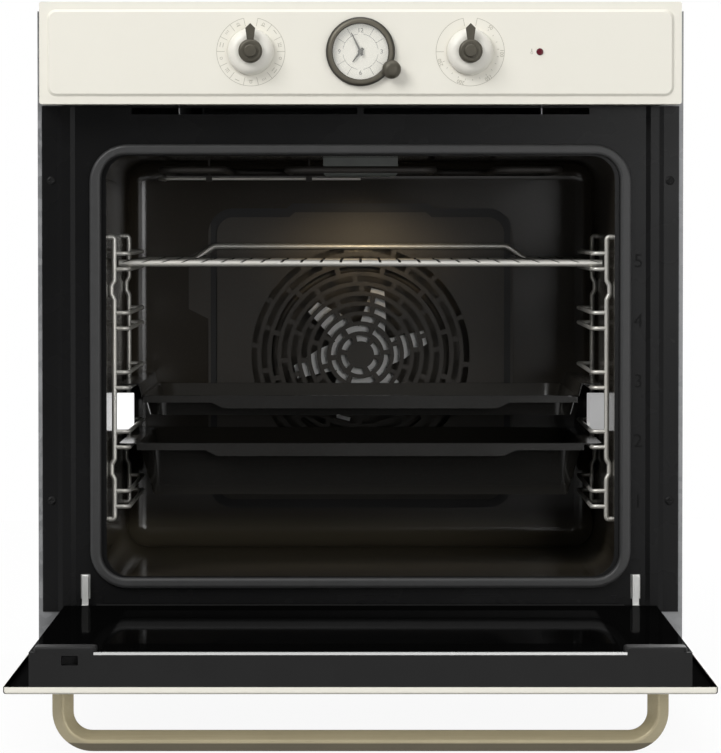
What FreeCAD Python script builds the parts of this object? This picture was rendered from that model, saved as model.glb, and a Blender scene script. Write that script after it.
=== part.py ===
"""Built-in electric oven with a drop-down door, built up piece by piece.

Millimetres, +Z up, the oven faces -Y. Pieces are laid out from the plane where the front flange
meets the cabinet (y = 0) and are moved back at the end, so that the origin is the centre of the
base underside. The door is drawn open and level, the shelves pushed in.
"""
import FreeCAD, Part
import math
import os
from collections import namedtuple

import Sketcher
from FreeCAD import Placement, Rotation, Vector

doc = FreeCAD.newDocument("built_in_oven")

SIZES = {
    # casing and front
    "front_width": 595,
    "front_height": 595,
    "flange_lap": 4.5,
    "casing_width": 560,
    "casing_drop": 7,
    "casing_depth": 546,
    "casing_gauge": 1,
    "sill_height": 25.7,
    "sill_setback": 8,
    "base_lip": 18,
    "flange_hole": 2.5,
    "flange_hole_inset": 8,
    "flange_hole_low": 130,
    "flange_hole_high": 430,
    "vent_length": 120,
    "vent_width": 6,
    "vent_pitch": 16,
    "vent_count": 6,
    "terminal_across": 200,
    "terminal_drop": 48,
    "terminal_width": 64,
    "terminal_height": 34,
    # enamelled front frame
    "frame_lap": 0.5,
    "frame_gauge": 1.2,
    "rib_place": 275.4,
    "rib_width": 16.8,
    "rib_slope": 4.4,
    "rib_rise": 2,
    "ledge_width": 482,
    "ledge_low": 33.5,
    "ledge_high": 41,
    "ledge_rise": 2,
    "air_slot_width": 428,
    "air_slot_height": 6.2,
    "air_slot_web": 6,
    # cooking space
    "cavity_width": 476,
    "cavity_floor": 59,
    "cavity_head": 142,
    "cavity_depth": 400,
    "cavity_gauge": 1,
    "cavity_corner": 22,
    "cavity_cove": 19,
    "recess_width": 292,
    "recess_foot": 15,
    "recess_drop": 8,
    "recess_depth": 40,
    "recess_corner": 30,
    "wool_thickness": 26,
    "wool_front": 32,
    "wool_rear": 24,
    "fit_gap": 0.5,
    "run_gap": 0.05,
    # seal and door
    "gasket_inset": 4.5,
    "gasket_lap": 1,
    "gasket_side": 15.5,
    "gasket_edge": 11,
    "gasket_rise": 6.7,
    "gasket_corner": 36,
    "seal_gap": 0.3,
    "hinge_height": 26,
    "hinge_reach": 17,
    "hinge_place": 258,
    "hinge_arm_width": 6,
    "hinge_lug": 7,
    "hinge_pin": 3,
    "hinge_channel_width": 22,
    "hinge_channel_length": 128,
    "hinge_channel_wall": 2.5,
    "door_gap": 3,
    "door_lift": 12,
    "door_skin": 1,
    "door_rim": 6,
    "door_box_width": 552,
    "pane_gauge": 4,
    "pane_middle": 17,
    "window_width": 410,
    "window_low": 106,
    "window_high": 386,
    "window_corner": 14,
    "window_lap": 25,
    "bottom_rail": 18,
    "trim_depth": 18.5,
    "trim_width": 444,
    "trim_strip": 2.2,
    "side_profile": 36,
    # handle
    "handle_span": 500,
    "handle_inset": 40,
    "handle_bar": 18,
    "handle_round": 2.5,
    "handle_standoff": 34,
    "handle_bend": 25,
    "handle_screw": 2.5,
    # control panel
    "panel_height": 94.5,
    "panel_reach": 42,
    "panel_gauge": 1.2,
    "plateau_rise": 2.5,
    "plateau_margin": 7,
    "plateau_corner": 9,
    "plateau_slope": 45,
    "control_drop": 46.3,
    "bracket_setback": 12,
    "knob_spacing": 203,
    "knob_radius": 21.5,
    "knob_height": 13,
    "hub_radius": 11,
    "hub_height": 11.5,
    "cap_radius": 6,
    "cap_height": 3,
    "pointer_reach": 25.6,
    "pointer_root": 5,
    "pointer_tip": 9,
    "pointer_depth": 7,
    "stem_radius": 3,
    "switch_width": 36,
    "switch_depth": 34,
    "clock_radius": 32,
    "clock_dial": 25.75,
    "clock_depth": 7,
    "minute_length": 19.3,
    "hour_length": 12,
    "hand_gauge": 0.5,
    "minute_turn": 26,
    "hour_turn": -217,
    "setter_across": 28.7,
    "setter_drop": 16.6,
    "setter_radius": 8.75,
    "lamp_across": 166,
    "lamp_radius": 3.25,
    # fan, guard and heaters
    "fan_lift": 3.5,
    "fan_radius": 69,
    "fan_blades": 6,
    "fan_hub": 25,
    "blade_back": 9,
    "blade_belly": 20,
    "blade_waist": 16,
    "blade_tip": 6.8,
    "blade_depth": 14,
    "fan_turn": -15,
    "fan_shaft": 4,
    "guard_width": 312,
    "guard_foot": 39,
    "guard_drop": 48,
    "guard_gauge": 1.2,
    "guard_corner": 26,
    "guard_border": 9,
    "guard_rise": 2.5,
    "guard_screw_inset": 5.4,
    "slot_first": 17,
    "slot_pitch": 10.2,
    "slot_width": 6,
    "slot_rings": 10,
    "slot_web": 5,
    "slot_swirl": 11,
    "motor_radius": 36,
    "motor_length": 52,
    "heater_radius": 3.25,
    "ring_heater_radius": 88,
    "grill_drop": 12,
    "grill_width": 380,
    # racks, shelf and trays
    "rack_place": 232.8,
    "rack_front": 38,
    "rack_rear": 310,
    "rack_low": 110,
    "rack_high": 377,
    "rack_wire": 2.4,
    "rail_wire": 2,
    "rail_reach": 13.8,
    "rail_first": 122,
    "rail_pitch": 56.2,
    "rail_pair": 14.8,
    "rail_levels": 5,
    "slide_gap": 0.3,
    "shelf_half": 229,
    "shelf_front": 50,
    "shelf_rear": 392,
    "shelf_wire": 3.2,
    "grid_wire": 1.5,
    "grid_pitch": 19,
    "stop_rise": 14,
    "tray_gauge": 1,
    "tray_corner": 22,
    "deep_drop": 49,
    "deep_half": 212,
    "shallow_half": 206,
    "shallow_drop": 18,
    "shallow_wing": 11,
    "tray_slope": 16,
    "lip_drop": 11,
    # cooling blower
    "blower_width": 340,
    "blower_place": 250,
    "blower_radius": 30,
    "blower_blades": 16,
}

sheet = doc.addObject("Spreadsheet::Sheet", "sizes")
for row, (name, value) in enumerate(SIZES.items(), 1):
    sheet.set(f"A{row}", name)
    sheet.set(f"B{row}", str(value))
    sheet.setAlias(f"B{row}", name)
doc.recompute()


class Size:
    """A length that carries its number and the sheet formula that it comes from."""

    def __init__(self, number, formula):
        self.number = number
        self.formula = formula

    def __add__(self, other):
        other = as_size(other)
        return Size(self.number + other.number, f"({self.formula} + {other.formula})")

    def __sub__(self, other):
        other = as_size(other)
        return Size(self.number - other.number, f"({self.formula} - {other.formula})")

    def __mul__(self, other):
        other = as_size(other)
        return Size(self.number * other.number, f"({self.formula} * {other.formula})")

    def __truediv__(self, other):
        other = as_size(other)
        return Size(self.number / other.number, f"({self.formula} / {other.formula})")

    def __radd__(self, other):
        return as_size(other) + self

    def __rsub__(self, other):
        return as_size(other) - self

    def __rmul__(self, other):
        return as_size(other) * self

    def __neg__(self):
        return as_size(0) - self


def as_size(value):
    return value if isinstance(value, Size) else Size(float(value), repr(float(value)))


def number(value):
    return as_size(value).number


class Sheet:
    """Reads a cell of the sheet by its alias."""

    def __getattr__(self, name):
        return Size(float(sheet.get(name)), f"sizes.{name}")


S = Sheet()
Ring = namedtuple("Ring", "across up radius")
SIDES = (("left", -1), ("right", 1))
PLANE_SIGN = {"XY": 1, "XZ": -1, "YZ": 1}
pieces = []


def piece(label):
    body = doc.addObject("PartDesign::Body", label)
    body.Label = label
    pieces.append(body)
    return body


def bind(thing, path, value):
    thing.setExpression(path, as_size(value).formula)


def rect(left, right, low, high, radius=None):
    corners = [(left, low), (right, low), (right, high), (left, high)]
    if radius is None:
        return corners
    return [corner + (radius,) for corner in corners]


def heading(start, end):
    """Unit step along an axis from one corner to the next."""
    across = number(end[0]) - number(start[0])
    up = number(end[1]) - number(start[1])
    length = math.hypot(across, up)
    return round(across / length, 9), round(up / length, 9)


def outline(corners):
    """Edges of a closed outline: (start, end, radius, centre), where a straight edge has no radius."""
    knots = []
    for place, corner in enumerate(corners):
        if len(corner) == 2:
            knots.append((corner, corner, None, None))
            continue
        across, up, radius = corner
        came = heading(corners[place - 1], corner)
        goes = heading(corner, corners[(place + 1) % len(corners)])
        entry = (across - radius * came[0], up - radius * came[1])
        leave = (across + radius * goes[0], up + radius * goes[1])
        centre = (entry[0] + radius * goes[0], entry[1] + radius * goes[1])
        knots.append((entry, leave, radius, centre))
    edges = []
    for place, (entry, leave, radius, centre) in enumerate(knots):
        if radius is not None:
            edges.append((entry, leave, radius, centre))
        follow = knots[(place + 1) % len(knots)][0]
        gap = math.hypot(number(follow[0]) - number(leave[0]), number(follow[1]) - number(leave[1]))
        if gap > 1e-6:
            edges.append((leave, follow, None, None))
    return edges


def point(pair):
    return Vector(number(pair[0]), number(pair[1]), 0)


def draw_ring(sketch, ring):
    circle = Part.Circle(point(ring), Vector(0, 0, 1), number(ring.radius))
    drawn = sketch.addGeometry(circle)
    rules = [
        Sketcher.Constraint("DistanceX", drawn, 3, number(ring.across)),
        Sketcher.Constraint("DistanceY", drawn, 3, number(ring.up)),
        Sketcher.Constraint("Radius", drawn, number(ring.radius)),
    ]
    for place, value in zip(sketch.addConstraint(rules), ring):
        bind(sketch, f"Constraints[{place}]", value)


def draw_outline(sketch, corners, closed=True):
    edges = outline(corners)
    if not closed:
        finish = edges.pop()[0]
    drawn = []
    for start, end, radius, centre in edges:
        if radius is None:
            drawn.append((sketch.addGeometry(Part.LineSegment(point(start), point(end))), 1, 2))
            continue
        middle = point(centre)
        entry, leave = point(start) - middle, point(end) - middle
        turns_left = entry.cross(leave).z > 0
        first, last = (entry, leave) if turns_left else (leave, entry)
        start_angle = math.atan2(first.y, first.x)
        end_angle = math.atan2(last.y, last.x)
        if end_angle < start_angle:
            end_angle += 2 * math.pi
        circle = Part.Circle(middle, Vector(0, 0, 1), number(radius))
        arc = sketch.addGeometry(Part.ArcOfCircle(circle, start_angle, end_angle))
        drawn.append((arc, 1, 2) if turns_left else (arc, 2, 1))
    rules = []
    values = []
    for place, (start, end, radius, centre) in enumerate(edges):
        edge, head, tail = drawn[place]
        before, _, before_tail = drawn[place - 1]
        if closed or place:
            rules.append(Sketcher.Constraint("Coincident", before, before_tail, edge, head))
            values.append(None)
        for kind, value in zip(("DistanceX", "DistanceY"), start):
            rules.append(Sketcher.Constraint(kind, edge, head, number(value)))
            values.append(value)
        if radius is not None:
            rules.append(Sketcher.Constraint("Radius", edge, number(radius)))
            values.append(radius)
    if not closed:
        for kind, value in zip(("DistanceX", "DistanceY"), finish):
            rules.append(Sketcher.Constraint(kind, edge, tail, number(value)))
            values.append(value)
    for place, value in zip(sketch.addConstraint(rules), values):
        if value is not None:
            bind(sketch, f"Constraints[{place}]", value)


def sketch_on(body, plane, level, loops, centre=(0, 0), turn=None):
    """Sketch on one of the body's origin planes, moved to the level and centre given."""
    sketch = body.newObject("Sketcher::SketchObject", f"{body.Label}_outline")
    support = [face for face in body.Origin.OriginFeatures if face.Role == f"{plane}_Plane"]
    sketch.AttachmentSupport = (support[0], [""])
    sketch.MapMode = "FlatFace"
    bind(sketch, "AttachmentOffset.Base.x", centre[0])
    bind(sketch, "AttachmentOffset.Base.y", centre[1])
    bind(sketch, "AttachmentOffset.Base.z", level * PLANE_SIGN[plane])
    if turn is not None:
        sketch.AttachmentOffset = Placement(Vector(), Rotation(Vector(0, 0, 1), number(turn)))
        bind(sketch, "AttachmentOffset.Rotation.Angle", turn)
    for loop in loops:
        if isinstance(loop, Ring):
            draw_ring(sketch, loop)
        else:
            draw_outline(sketch, loop)
    return sketch


def slab(body, plane, start, end, *loops, slope=None, centre=(0, 0), turn=None):
    """Adds the outline's solid between two levels along the plane's axis."""
    start, end = as_size(start), as_size(end)
    pad = body.newObject("PartDesign::Pad", f"{body.Label}_pad")
    rising = end.number > start.number
    pad.Profile = sketch_on(body, plane, start, loops, centre, turn)
    bind(pad, "Length", end - start if rising else start - end)
    pad.Reversed = rising == (PLANE_SIGN[plane] < 0)
    if slope is not None:
        bind(pad, "TaperAngle", slope)
    return pad


def hollow(body, plane, start, end, *loops, slope=None, centre=(0, 0)):
    """Cuts the outline away between two levels along the plane's axis."""
    start, end = as_size(start), as_size(end)
    pocket = body.newObject("PartDesign::Pocket", f"{body.Label}_pocket")
    rising = end.number > start.number
    pocket.Profile = sketch_on(body, plane, start, loops, centre)
    bind(pocket, "Length", end - start if rising else start - end)
    pocket.Reversed = rising == (PLANE_SIGN[plane] > 0)
    if slope is not None:
        bind(pocket, "TaperAngle", slope)
    return pocket


def turned(body, plane, level, centre, axis, corners, kind="PartDesign::Revolution"):
    """Turns an outline about the sketch axis that passes through the centre."""
    feature = body.newObject(kind, f"{body.Label}_turned")
    sketch = sketch_on(body, plane, level, [corners], centre)
    feature.Profile = sketch
    feature.ReferenceAxis = (sketch, [axis])
    feature.Angle = 360
    return feature


def around(body, features, count):
    """Repeats features about the normal of the first one's sketch."""
    pattern = body.newObject("PartDesign::PolarPattern", f"{body.Label}_pattern")
    pattern.Originals = features
    pattern.Axis = (features[0].Profile[0], ["N_Axis"])
    pattern.Angle = 360
    bind(pattern, "Occurrences", count)
    body.Tip = pattern
    return pattern


def in_row(body, feature, axis, pitch, count):
    """Repeats a feature along an axis of its sketch."""
    pattern = body.newObject("PartDesign::LinearPattern", f"{body.Label}_row")
    pattern.Originals = [feature]
    pattern.Direction = (feature.Profile[0], [axis])
    bind(pattern, "Length", pitch * (count - 1))
    bind(pattern, "Occurrences", count)
    body.Tip = pattern
    return pattern


def soften(body, radius, wanted):
    """Rounds the edges of the body's present shape that the test picks."""
    doc.recompute()
    base = body.Tip
    names = [f"Edge{place}" for place, edge in enumerate(base.Shape.Edges, 1) if wanted(edge.BoundBox)]
    fillet = body.newObject("PartDesign::Fillet", f"{body.Label}_round")
    fillet.Base = (base, names)
    bind(fillet, "Radius", radius)
    return fillet


def bent_rod(points, bend, radius):
    """Round bar along straight runs that are joined by tangent arcs."""
    points = [Vector(*(number(value) for value in place)) for place in points]
    bend = number(bend)
    edges = []
    start = points[0]
    for before, corner, after in zip(points, points[1:], points[2:]):
        back = (before - corner).normalize()
        ahead = (after - corner).normalize()
        half = back.getAngle(ahead) / 2
        reach = bend / math.tan(half)
        entry = corner + back * reach
        leave = corner + ahead * reach
        middle = corner + (back + ahead).normalize() * (bend / math.sin(half) - bend)
        edges.append(Part.LineSegment(start, entry).toShape())
        edges.append(Part.Arc(entry, middle, leave).toShape())
        start = leave
    edges.append(Part.LineSegment(start, points[-1]).toShape())
    circle = Part.makeCircle(number(radius), points[0], points[1] - points[0])
    return Part.Wire(edges).makePipeShell([Part.Wire(circle)], True, False)


def formed(label, shapes):
    """A node whose bent wires are welded into one solid."""
    feature = doc.addObject("Part::Feature", label)
    feature.Label = label
    welded = shapes[0].fuse(shapes[1:]) if len(shapes) > 1 else shapes[0]
    feature.Shape = welded.removeSplitter()
    pieces.append(feature)
    return feature


TURNS = {"X": Rotation(Vector(0, 1, 0), 90), "Y": Rotation(Vector(1, 0, 0), -90), "Z": Rotation()}


def place_at(thing, base, axis="Z"):
    thing.Placement = Placement(Vector(*(number(value) for value in base)), TURNS[axis])
    for letter, value in zip("xyz", base):
        bind(thing, f"Placement.Base.{letter}", value)
    return thing


def bar(axis, base, radius, length):
    """Round bar that starts at the base and runs along an axis."""
    cylinder = doc.addObject("Part::Cylinder", "bar")
    bind(cylinder, "Radius", radius)
    bind(cylinder, "Height", length)
    return place_at(cylinder, base, axis)


def block(left, right, front, back, low, high):
    box = doc.addObject("Part::Box", "block")
    for side, start, end in (("Length", left, right), ("Width", front, back), ("Height", low, high)):
        bind(box, side, as_size(end) - start)
    return place_at(box, (left, front, low))


def fused(label, shapes):
    weld = doc.addObject("Part::MultiFuse", label)
    weld.Label = label
    weld.Shapes = shapes
    return weld


def group(label, members):
    """A node of like pieces that stay separate solids."""
    compound = doc.addObject("Part::Compound", label)
    compound.Label = label
    compound.Links = members
    pieces.append(compound)
    return compound


# Places that several pieces share
gauge = S.casing_gauge
half_casing = S.casing_width / 2
half_front = S.front_width / 2
half_flange = half_front + S.flange_lap
half_cavity = S.cavity_width / 2
rear = S.casing_depth - gauge
frame_face = -(gauge + S.frame_gauge)
panel_low = S.front_height - S.panel_height
panel_front = frame_face - S.panel_reach
panel_back = panel_front + S.panel_gauge
casing_top = S.front_height - S.casing_drop
control = S.front_height - S.control_drop
cavity_top = S.front_height - S.cavity_head
grill_height = cavity_top - S.grill_drop
wool_low = S.cavity_floor - S.wool_thickness
wool_high = cavity_top + S.wool_thickness
hinge_y = -S.hinge_reach
door_depth = S.panel_reach - S.gasket_rise - S.seal_gap
door_top = S.hinge_height + S.hinge_reach + frame_face - S.gasket_rise - S.seal_gap
door_base = door_top - door_depth
door_free = hinge_y - (panel_low - S.door_gap - S.hinge_height)
door_rear = hinge_y + S.hinge_height - S.door_lift
glass_base = door_top - S.pane_gauge
box_base = door_base + S.door_skin
box_free = door_free + S.door_skin
guard_face = S.cavity_depth - S.guard_gauge
guard_front = guard_face - S.guard_rise
guard_low = S.cavity_floor + S.guard_foot
guard_high = cavity_top - S.guard_drop
fan_height = (guard_low + guard_high) / 2 + S.fan_lift
recess_floor = guard_low + S.recess_foot
recess_top = guard_high - S.recess_drop
guard_across = S.guard_width / 2 - S.guard_screw_inset
guard_screw_foot, guard_screw_drop, guard_screw = 52, 45, 1.8
guard_screws = [(side * guard_across, up) for _, side in SIDES
                for up in (guard_low + guard_screw_foot, guard_high - guard_screw_drop)]
hole_across = half_front - S.flange_hole_inset
flange_holes = [(side * hole_across, up) for _, side in SIDES
                for up in (S.flange_hole_low, S.flange_hole_high)]

# Casing: bent galvanised sheets whose flanges stand against the cabinet's front edges
for name, side in SIDES:
    casing = piece(f"casing_{name}")
    inner = side * (half_casing - gauge)
    outer = side * half_casing
    edge = side * half_flange
    bend = [(inner, -gauge), (edge, -gauge), (edge, 0), (outer, 0), (outer, rear), (inner, rear)]
    slab(casing, "XY", 0, casing_top, bend)
    screw_holes = [Ring(across, up, S.flange_hole) for across, up in flange_holes]
    hollow(casing, "XZ", -gauge, 0, *[hole for hole in screw_holes if hole.across.number * side > 0])

base = piece("base_pan")
base_side = half_casing - gauge
slab(base, "XY", 0, S.base_lip, rect(-base_side, base_side, S.sill_setback, rear))
tray_side = base_side - gauge
hollow(base, "XY", gauge, S.base_lip, rect(-tray_side, tray_side, S.sill_setback + gauge, rear - gauge))

top = piece("top_cover")
slab(top, "XY", casing_top - gauge, casing_top, rect(-base_side, base_side, 0, rear))
top_vent = 380
vent = hollow(top, "XY", casing_top - gauge, casing_top,
              rect(-S.vent_length / 2, S.vent_length / 2, top_vent, top_vent + S.vent_width, S.vent_width / 2))
in_row(top, vent, "V_Axis", S.vent_pitch, S.vent_count)

cover = piece("rear_cover")
slab(cover, "XZ", rear, S.casing_depth, rect(-half_casing, half_casing, 0, casing_top))
lead_width, lead_height = S.terminal_width - 12, S.terminal_height - 10
lead_corner = 4
hollow(cover, "XZ", rear, S.casing_depth,
       rect(-lead_width / 2, lead_width / 2, -lead_height / 2, lead_height / 2, lead_corner),
       centre=(S.terminal_across, casing_top - S.terminal_drop))
rear_vent_across, rear_vent_height = 140, 90
for name, side in SIDES:
    vent = hollow(cover, "XZ", rear, S.casing_depth,
                  rect(-S.vent_length / 2, S.vent_length / 2, 0, S.vent_width, S.vent_width / 2),
                  centre=(side * rear_vent_across, rear_vent_height))
    in_row(cover, vent, "V_Axis", S.vent_pitch, S.vent_count)

# Front frame: one enamelled pressing with the mouth, the air outlet and the hinge slots
mouth = rect(-half_cavity, half_cavity, S.cavity_floor, cavity_top, S.cavity_corner)
frame = piece("front_frame")
half_frame = half_front + S.frame_lap
frame_top = panel_low - 1
slot_top = frame_top - 1.5
slot_low = slot_top - S.air_slot_height
air_slots = [rect(side * S.air_slot_web / 2, side * S.air_slot_width / 2, slot_low, slot_top)
             for _, side in SIDES]
arm_slot = S.hinge_arm_width / 2 + 1.5
arm_low, arm_high = S.hinge_height + 13, S.hinge_height + 34
hinge_slots = [rect(side * S.hinge_place - arm_slot, side * S.hinge_place + arm_slot, arm_low - 1, arm_high + 1)
               for _, side in SIDES]
frame_holes = [Ring(across, up, S.flange_hole) for across, up in flange_holes]
slab(frame, "XZ", frame_face, -gauge, rect(-half_frame, half_frame, S.sill_height, frame_top),
     mouth, *air_slots, *hinge_slots, *frame_holes)
for name, side in SIDES:
    foot = side * S.rib_place
    wide, narrow = S.rib_width / 2, S.rib_width / 2 - S.rib_slope
    rib = [(foot - wide, frame_face), (foot + wide, frame_face),
           (foot + narrow, frame_face - S.rib_rise), (foot - narrow, frame_face - S.rib_rise)]
    slab(frame, "XY", S.sill_height, frame_top, rib)
half_ledge = S.ledge_width / 2
slab(frame, "XZ", frame_face - S.ledge_rise, frame_face,
     rect(-half_ledge, half_ledge, S.ledge_low, S.ledge_high, S.ledge_rise))

# Cooking space: enamelled box welded to the frame, with a fan recess pressed into its back
cavity = piece("cavity")
wall = S.cavity_gauge
shell = rect(-half_cavity - wall, half_cavity + wall, S.cavity_floor - wall, cavity_top + wall,
             S.cavity_corner + wall)
half_recess = S.recess_width / 2
recess_back = S.cavity_depth + S.recess_depth
recess = rect(-half_recess, half_recess, recess_floor, recess_top, S.recess_corner)
recess_shell = rect(-half_recess - wall, half_recess + wall, recess_floor - wall, recess_top + wall,
                    S.recess_corner + wall)
half_lens, lens_front, lens_rear, lens_drop = 36, 130, 190, 18
side_lens_low, side_lens_high, side_lens_reach = 188.5, 223.5, 15.5
side_lens_front, side_lens_rear = 150, 206
shaft_room = 4
slab(cavity, "XZ", -gauge, S.cavity_depth + wall, shell)
hollow(cavity, "XZ", -gauge, S.cavity_depth, mouth)
for back, cove in ((S.cavity_depth, S.cavity_cove), (S.cavity_depth + wall, S.cavity_cove + wall)):
    back_plane = number(back)
    soften(cavity, cove, lambda box: box.YMin > back_plane - 0.01 and box.YMax < back_plane + 0.01)
slab(cavity, "XZ", S.cavity_depth, recess_back + wall, recess_shell)
hollow(cavity, "XZ", S.cavity_depth, recess_back, recess)
hollow(cavity, "XZ", recess_back, recess_back + wall, Ring(0, fan_height, S.fan_shaft + shaft_room))
screw_room = guard_screw + S.run_gap
hollow(cavity, "XZ", S.cavity_depth, S.cavity_depth + wall,
       *[Ring(*spot, screw_room) for spot in guard_screws])
hollow(cavity, "XY", cavity_top, cavity_top + wall, rect(-half_lens, half_lens, lens_front, lens_rear))
for name, side in SIDES:
    hollow(cavity, "YZ", side * half_cavity, side * (half_cavity + wall),
           rect(side_lens_front, side_lens_rear, side_lens_low, side_lens_high))

# Mineral wool wrapped round the cooking space, thinner behind it where the motor stands
wool = piece("insulation")
around_cavity = S.fit_gap + wall
wool_side = half_cavity + S.wool_thickness
wool_outer = rect(-wool_side, wool_side, wool_low, wool_high, S.cavity_corner)
heater_room = 2 * S.heater_radius + 4
wool_inner = rect(-half_cavity - around_cavity, half_cavity + around_cavity,
                  S.cavity_floor - heater_room, cavity_top + around_cavity, S.cavity_corner)
wool_step = S.cavity_depth + around_cavity
wool_recess = rect(-half_recess - around_cavity, half_recess + around_cavity, recess_floor - around_cavity,
                   recess_top + around_cavity, S.recess_corner)
slab(wool, "XZ", S.wool_front, wool_step, wool_outer, wool_inner)
slab(wool, "XZ", wool_step, wool_step + S.wool_rear, wool_outer, wool_recess)
holder_room = 6
hollow(wool, "XY", cavity_top, wool_high,
       rect(-half_lens - holder_room, half_lens + holder_room, lens_front - holder_room,
            lens_rear + holder_room))

# Door seal: a soft bead round the mouth
gasket = piece("door_gasket")
gasket_outer = rect(-half_cavity - S.gasket_side, half_cavity + S.gasket_side, S.cavity_floor - S.gasket_edge,
                    cavity_top + S.gasket_edge, S.gasket_corner)
gasket_inner = rect(-half_cavity - S.gasket_inset, half_cavity + S.gasket_inset, S.cavity_floor - S.gasket_lap,
                    cavity_top + S.gasket_lap, S.cavity_corner + S.gasket_lap)
slab(gasket, "XZ", frame_face - S.gasket_rise, frame_face, gasket_outer, gasket_inner)
gasket_front = number(frame_face - S.gasket_rise)
bead_round = 3.2
soften(gasket, bead_round, lambda box: box.YMax < gasket_front + 0.01)

# Control panel: a shallow pressed tray with a raised, bevelled field
panel = piece("control_panel")
step_back = panel_front + S.plateau_rise
panel_corner = 2
slab(panel, "XZ", step_back, -gauge, rect(-half_front, half_front, panel_low, S.front_height, panel_corner))
field = rect(-half_front + S.plateau_margin, half_front - S.plateau_margin, panel_low + S.plateau_margin,
             S.front_height - S.plateau_margin, S.plateau_corner)
slab(panel, "XZ", step_back, panel_front, field, slope=-S.plateau_slope)
skin = S.panel_gauge
hollow(panel, "XZ", -gauge, step_back + skin, rect(-half_front + skin, half_front - skin, panel_low + skin,
                                                   S.front_height - skin))
deep = S.plateau_margin + S.plateau_rise + skin
hollow(panel, "XZ", step_back + skin, panel_back,
       rect(-half_front + deep, half_front - deep, panel_low + deep, S.front_height - deep,
            S.plateau_corner / 2))
knob_places = [("selector", -S.knob_spacing / 2), ("thermostat", S.knob_spacing / 2)]
setter = (S.setter_across, control - S.setter_drop)
arbor_hole, setter_hole, stem_room = 8, 2.5, 1.5
panel_holes = [Ring(across, control, S.stem_radius + stem_room) for _, across in knob_places]
panel_holes.append(Ring(0, control, arbor_hole))
panel_holes.append(Ring(*setter, setter_hole))
panel_holes.append(Ring(S.lamp_across, control, S.lamp_radius + S.run_gap))
hollow(panel, "XZ", panel_front, panel_back, *panel_holes)

# Bracket behind the panel that carries the switches
bracket = piece("control_bracket")
bracket_front = panel_back + S.bracket_setback
bracket_back = bracket_front + gauge
leg = half_casing - 9
tab = half_casing + 10
plan = [(-tab, -gauge), (-tab, -2 * gauge), (-leg, -2 * gauge), (-leg, bracket_front), (leg, bracket_front),
        (leg, -2 * gauge), (tab, -2 * gauge), (tab, -gauge), (leg - gauge, -gauge),
        (leg - gauge, bracket_back), (gauge - leg, bracket_back), (gauge - leg, -gauge)]
bracket_low, bracket_high = panel_low + 8, casing_top - 6
slab(bracket, "XY", bracket_low, bracket_high, plan)
movement_radius, bracket_room = 27, 1
bracket_holes = [Ring(across, control, S.stem_radius + stem_room + bracket_room) for _, across in knob_places]
bracket_holes.append(Ring(0, control, movement_radius + bracket_room))
bracket_holes.append(Ring(*setter, setter_hole + stem_room))
bracket_holes.append(Ring(S.lamp_across, control, S.lamp_radius + bracket_room))
hollow(bracket, "XZ", bracket_front, bracket_back, *bracket_holes)

# Rotary controls: a domed knob on a stem, with a turned hub and a pointer lever on its face
knob_seat = panel_front - S.fit_gap
knob_face = knob_seat - S.knob_height
hub_face = knob_face - S.hub_height
stem_end = bracket_back + 10
knob_round, hub_round, cap_round = 9, 3, 1.5
switch_corner, tab_reach, tab_pitch, tab_count = 4, 8, as_size(7.5), as_size(4)
tab_blade = rect(-12, -11, -14, -8)
for label, across in knob_places:
    knob = piece(f"{label}_knob")
    turned(knob, "XY", control, (across, 0), "V_Axis",
           [(0, knob_face), (S.knob_radius, knob_face, knob_round), (S.knob_radius, knob_seat),
            (S.stem_radius, knob_seat), (S.stem_radius, stem_end), (0, stem_end)])
    pointer = piece(f"{label}_pointer")
    turned(pointer, "XY", control, (across, 0), "V_Axis",
           [(0, knob_face), (S.hub_radius, knob_face), (S.hub_radius, hub_face, hub_round),
            (S.cap_radius, hub_face), (S.cap_radius, hub_face - S.cap_height, cap_round),
            (0, hub_face - S.cap_height)])
    lever_back = knob_face - 2
    shoulder = S.pointer_reach - S.pointer_tip / 2
    arrow = [(-S.pointer_root / 2, S.hub_radius / 2), (S.pointer_root / 2, S.hub_radius / 2),
             (S.pointer_tip / 2, shoulder), (0, S.pointer_reach), (-S.pointer_tip / 2, shoulder)]
    slab(pointer, "XZ", lever_back - S.pointer_depth, lever_back, arrow, centre=(across, control))

    switch = piece(f"{label}_switch")
    switch_back = bracket_back + S.switch_depth
    half_switch = S.switch_width / 2
    slab(switch, "XZ", bracket_back, switch_back,
         rect(-half_switch, half_switch, -half_switch, half_switch, switch_corner), centre=(across, control))
    tab = slab(switch, "XZ", switch_back, switch_back + tab_reach, tab_blade, centre=(across, control))
    in_row(switch, tab, "H_Axis", tab_pitch, tab_count)
    hollow(switch, "XZ", bracket_back, stem_end + 1, Ring(0, 0, S.stem_radius + S.run_gap),
           centre=(across, control))

# Clock: bezel with a boss for the setting knob, dial, hands on nested arbors, crystal and movement
dial_radius = S.clock_dial
bezel = piece("clock_bezel")
bezel_front = panel_front - S.clock_depth
lip_round, rim_round = 1, 4.5
turned(bezel, "XY", control, (0, 0), "V_Axis",
       [(dial_radius, bezel_front, lip_round), (S.clock_radius, bezel_front, rim_round),
        (S.clock_radius, panel_front), (dial_radius, panel_front)])
boss_front, boss_radius = panel_front - 4, 6.5
slab(bezel, "XZ", boss_front, panel_front, Ring(*setter, boss_radius))
setter_stem = 2
hollow(bezel, "XZ", bezel_front, panel_front, Ring(*setter, setter_stem + S.run_gap))

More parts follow.
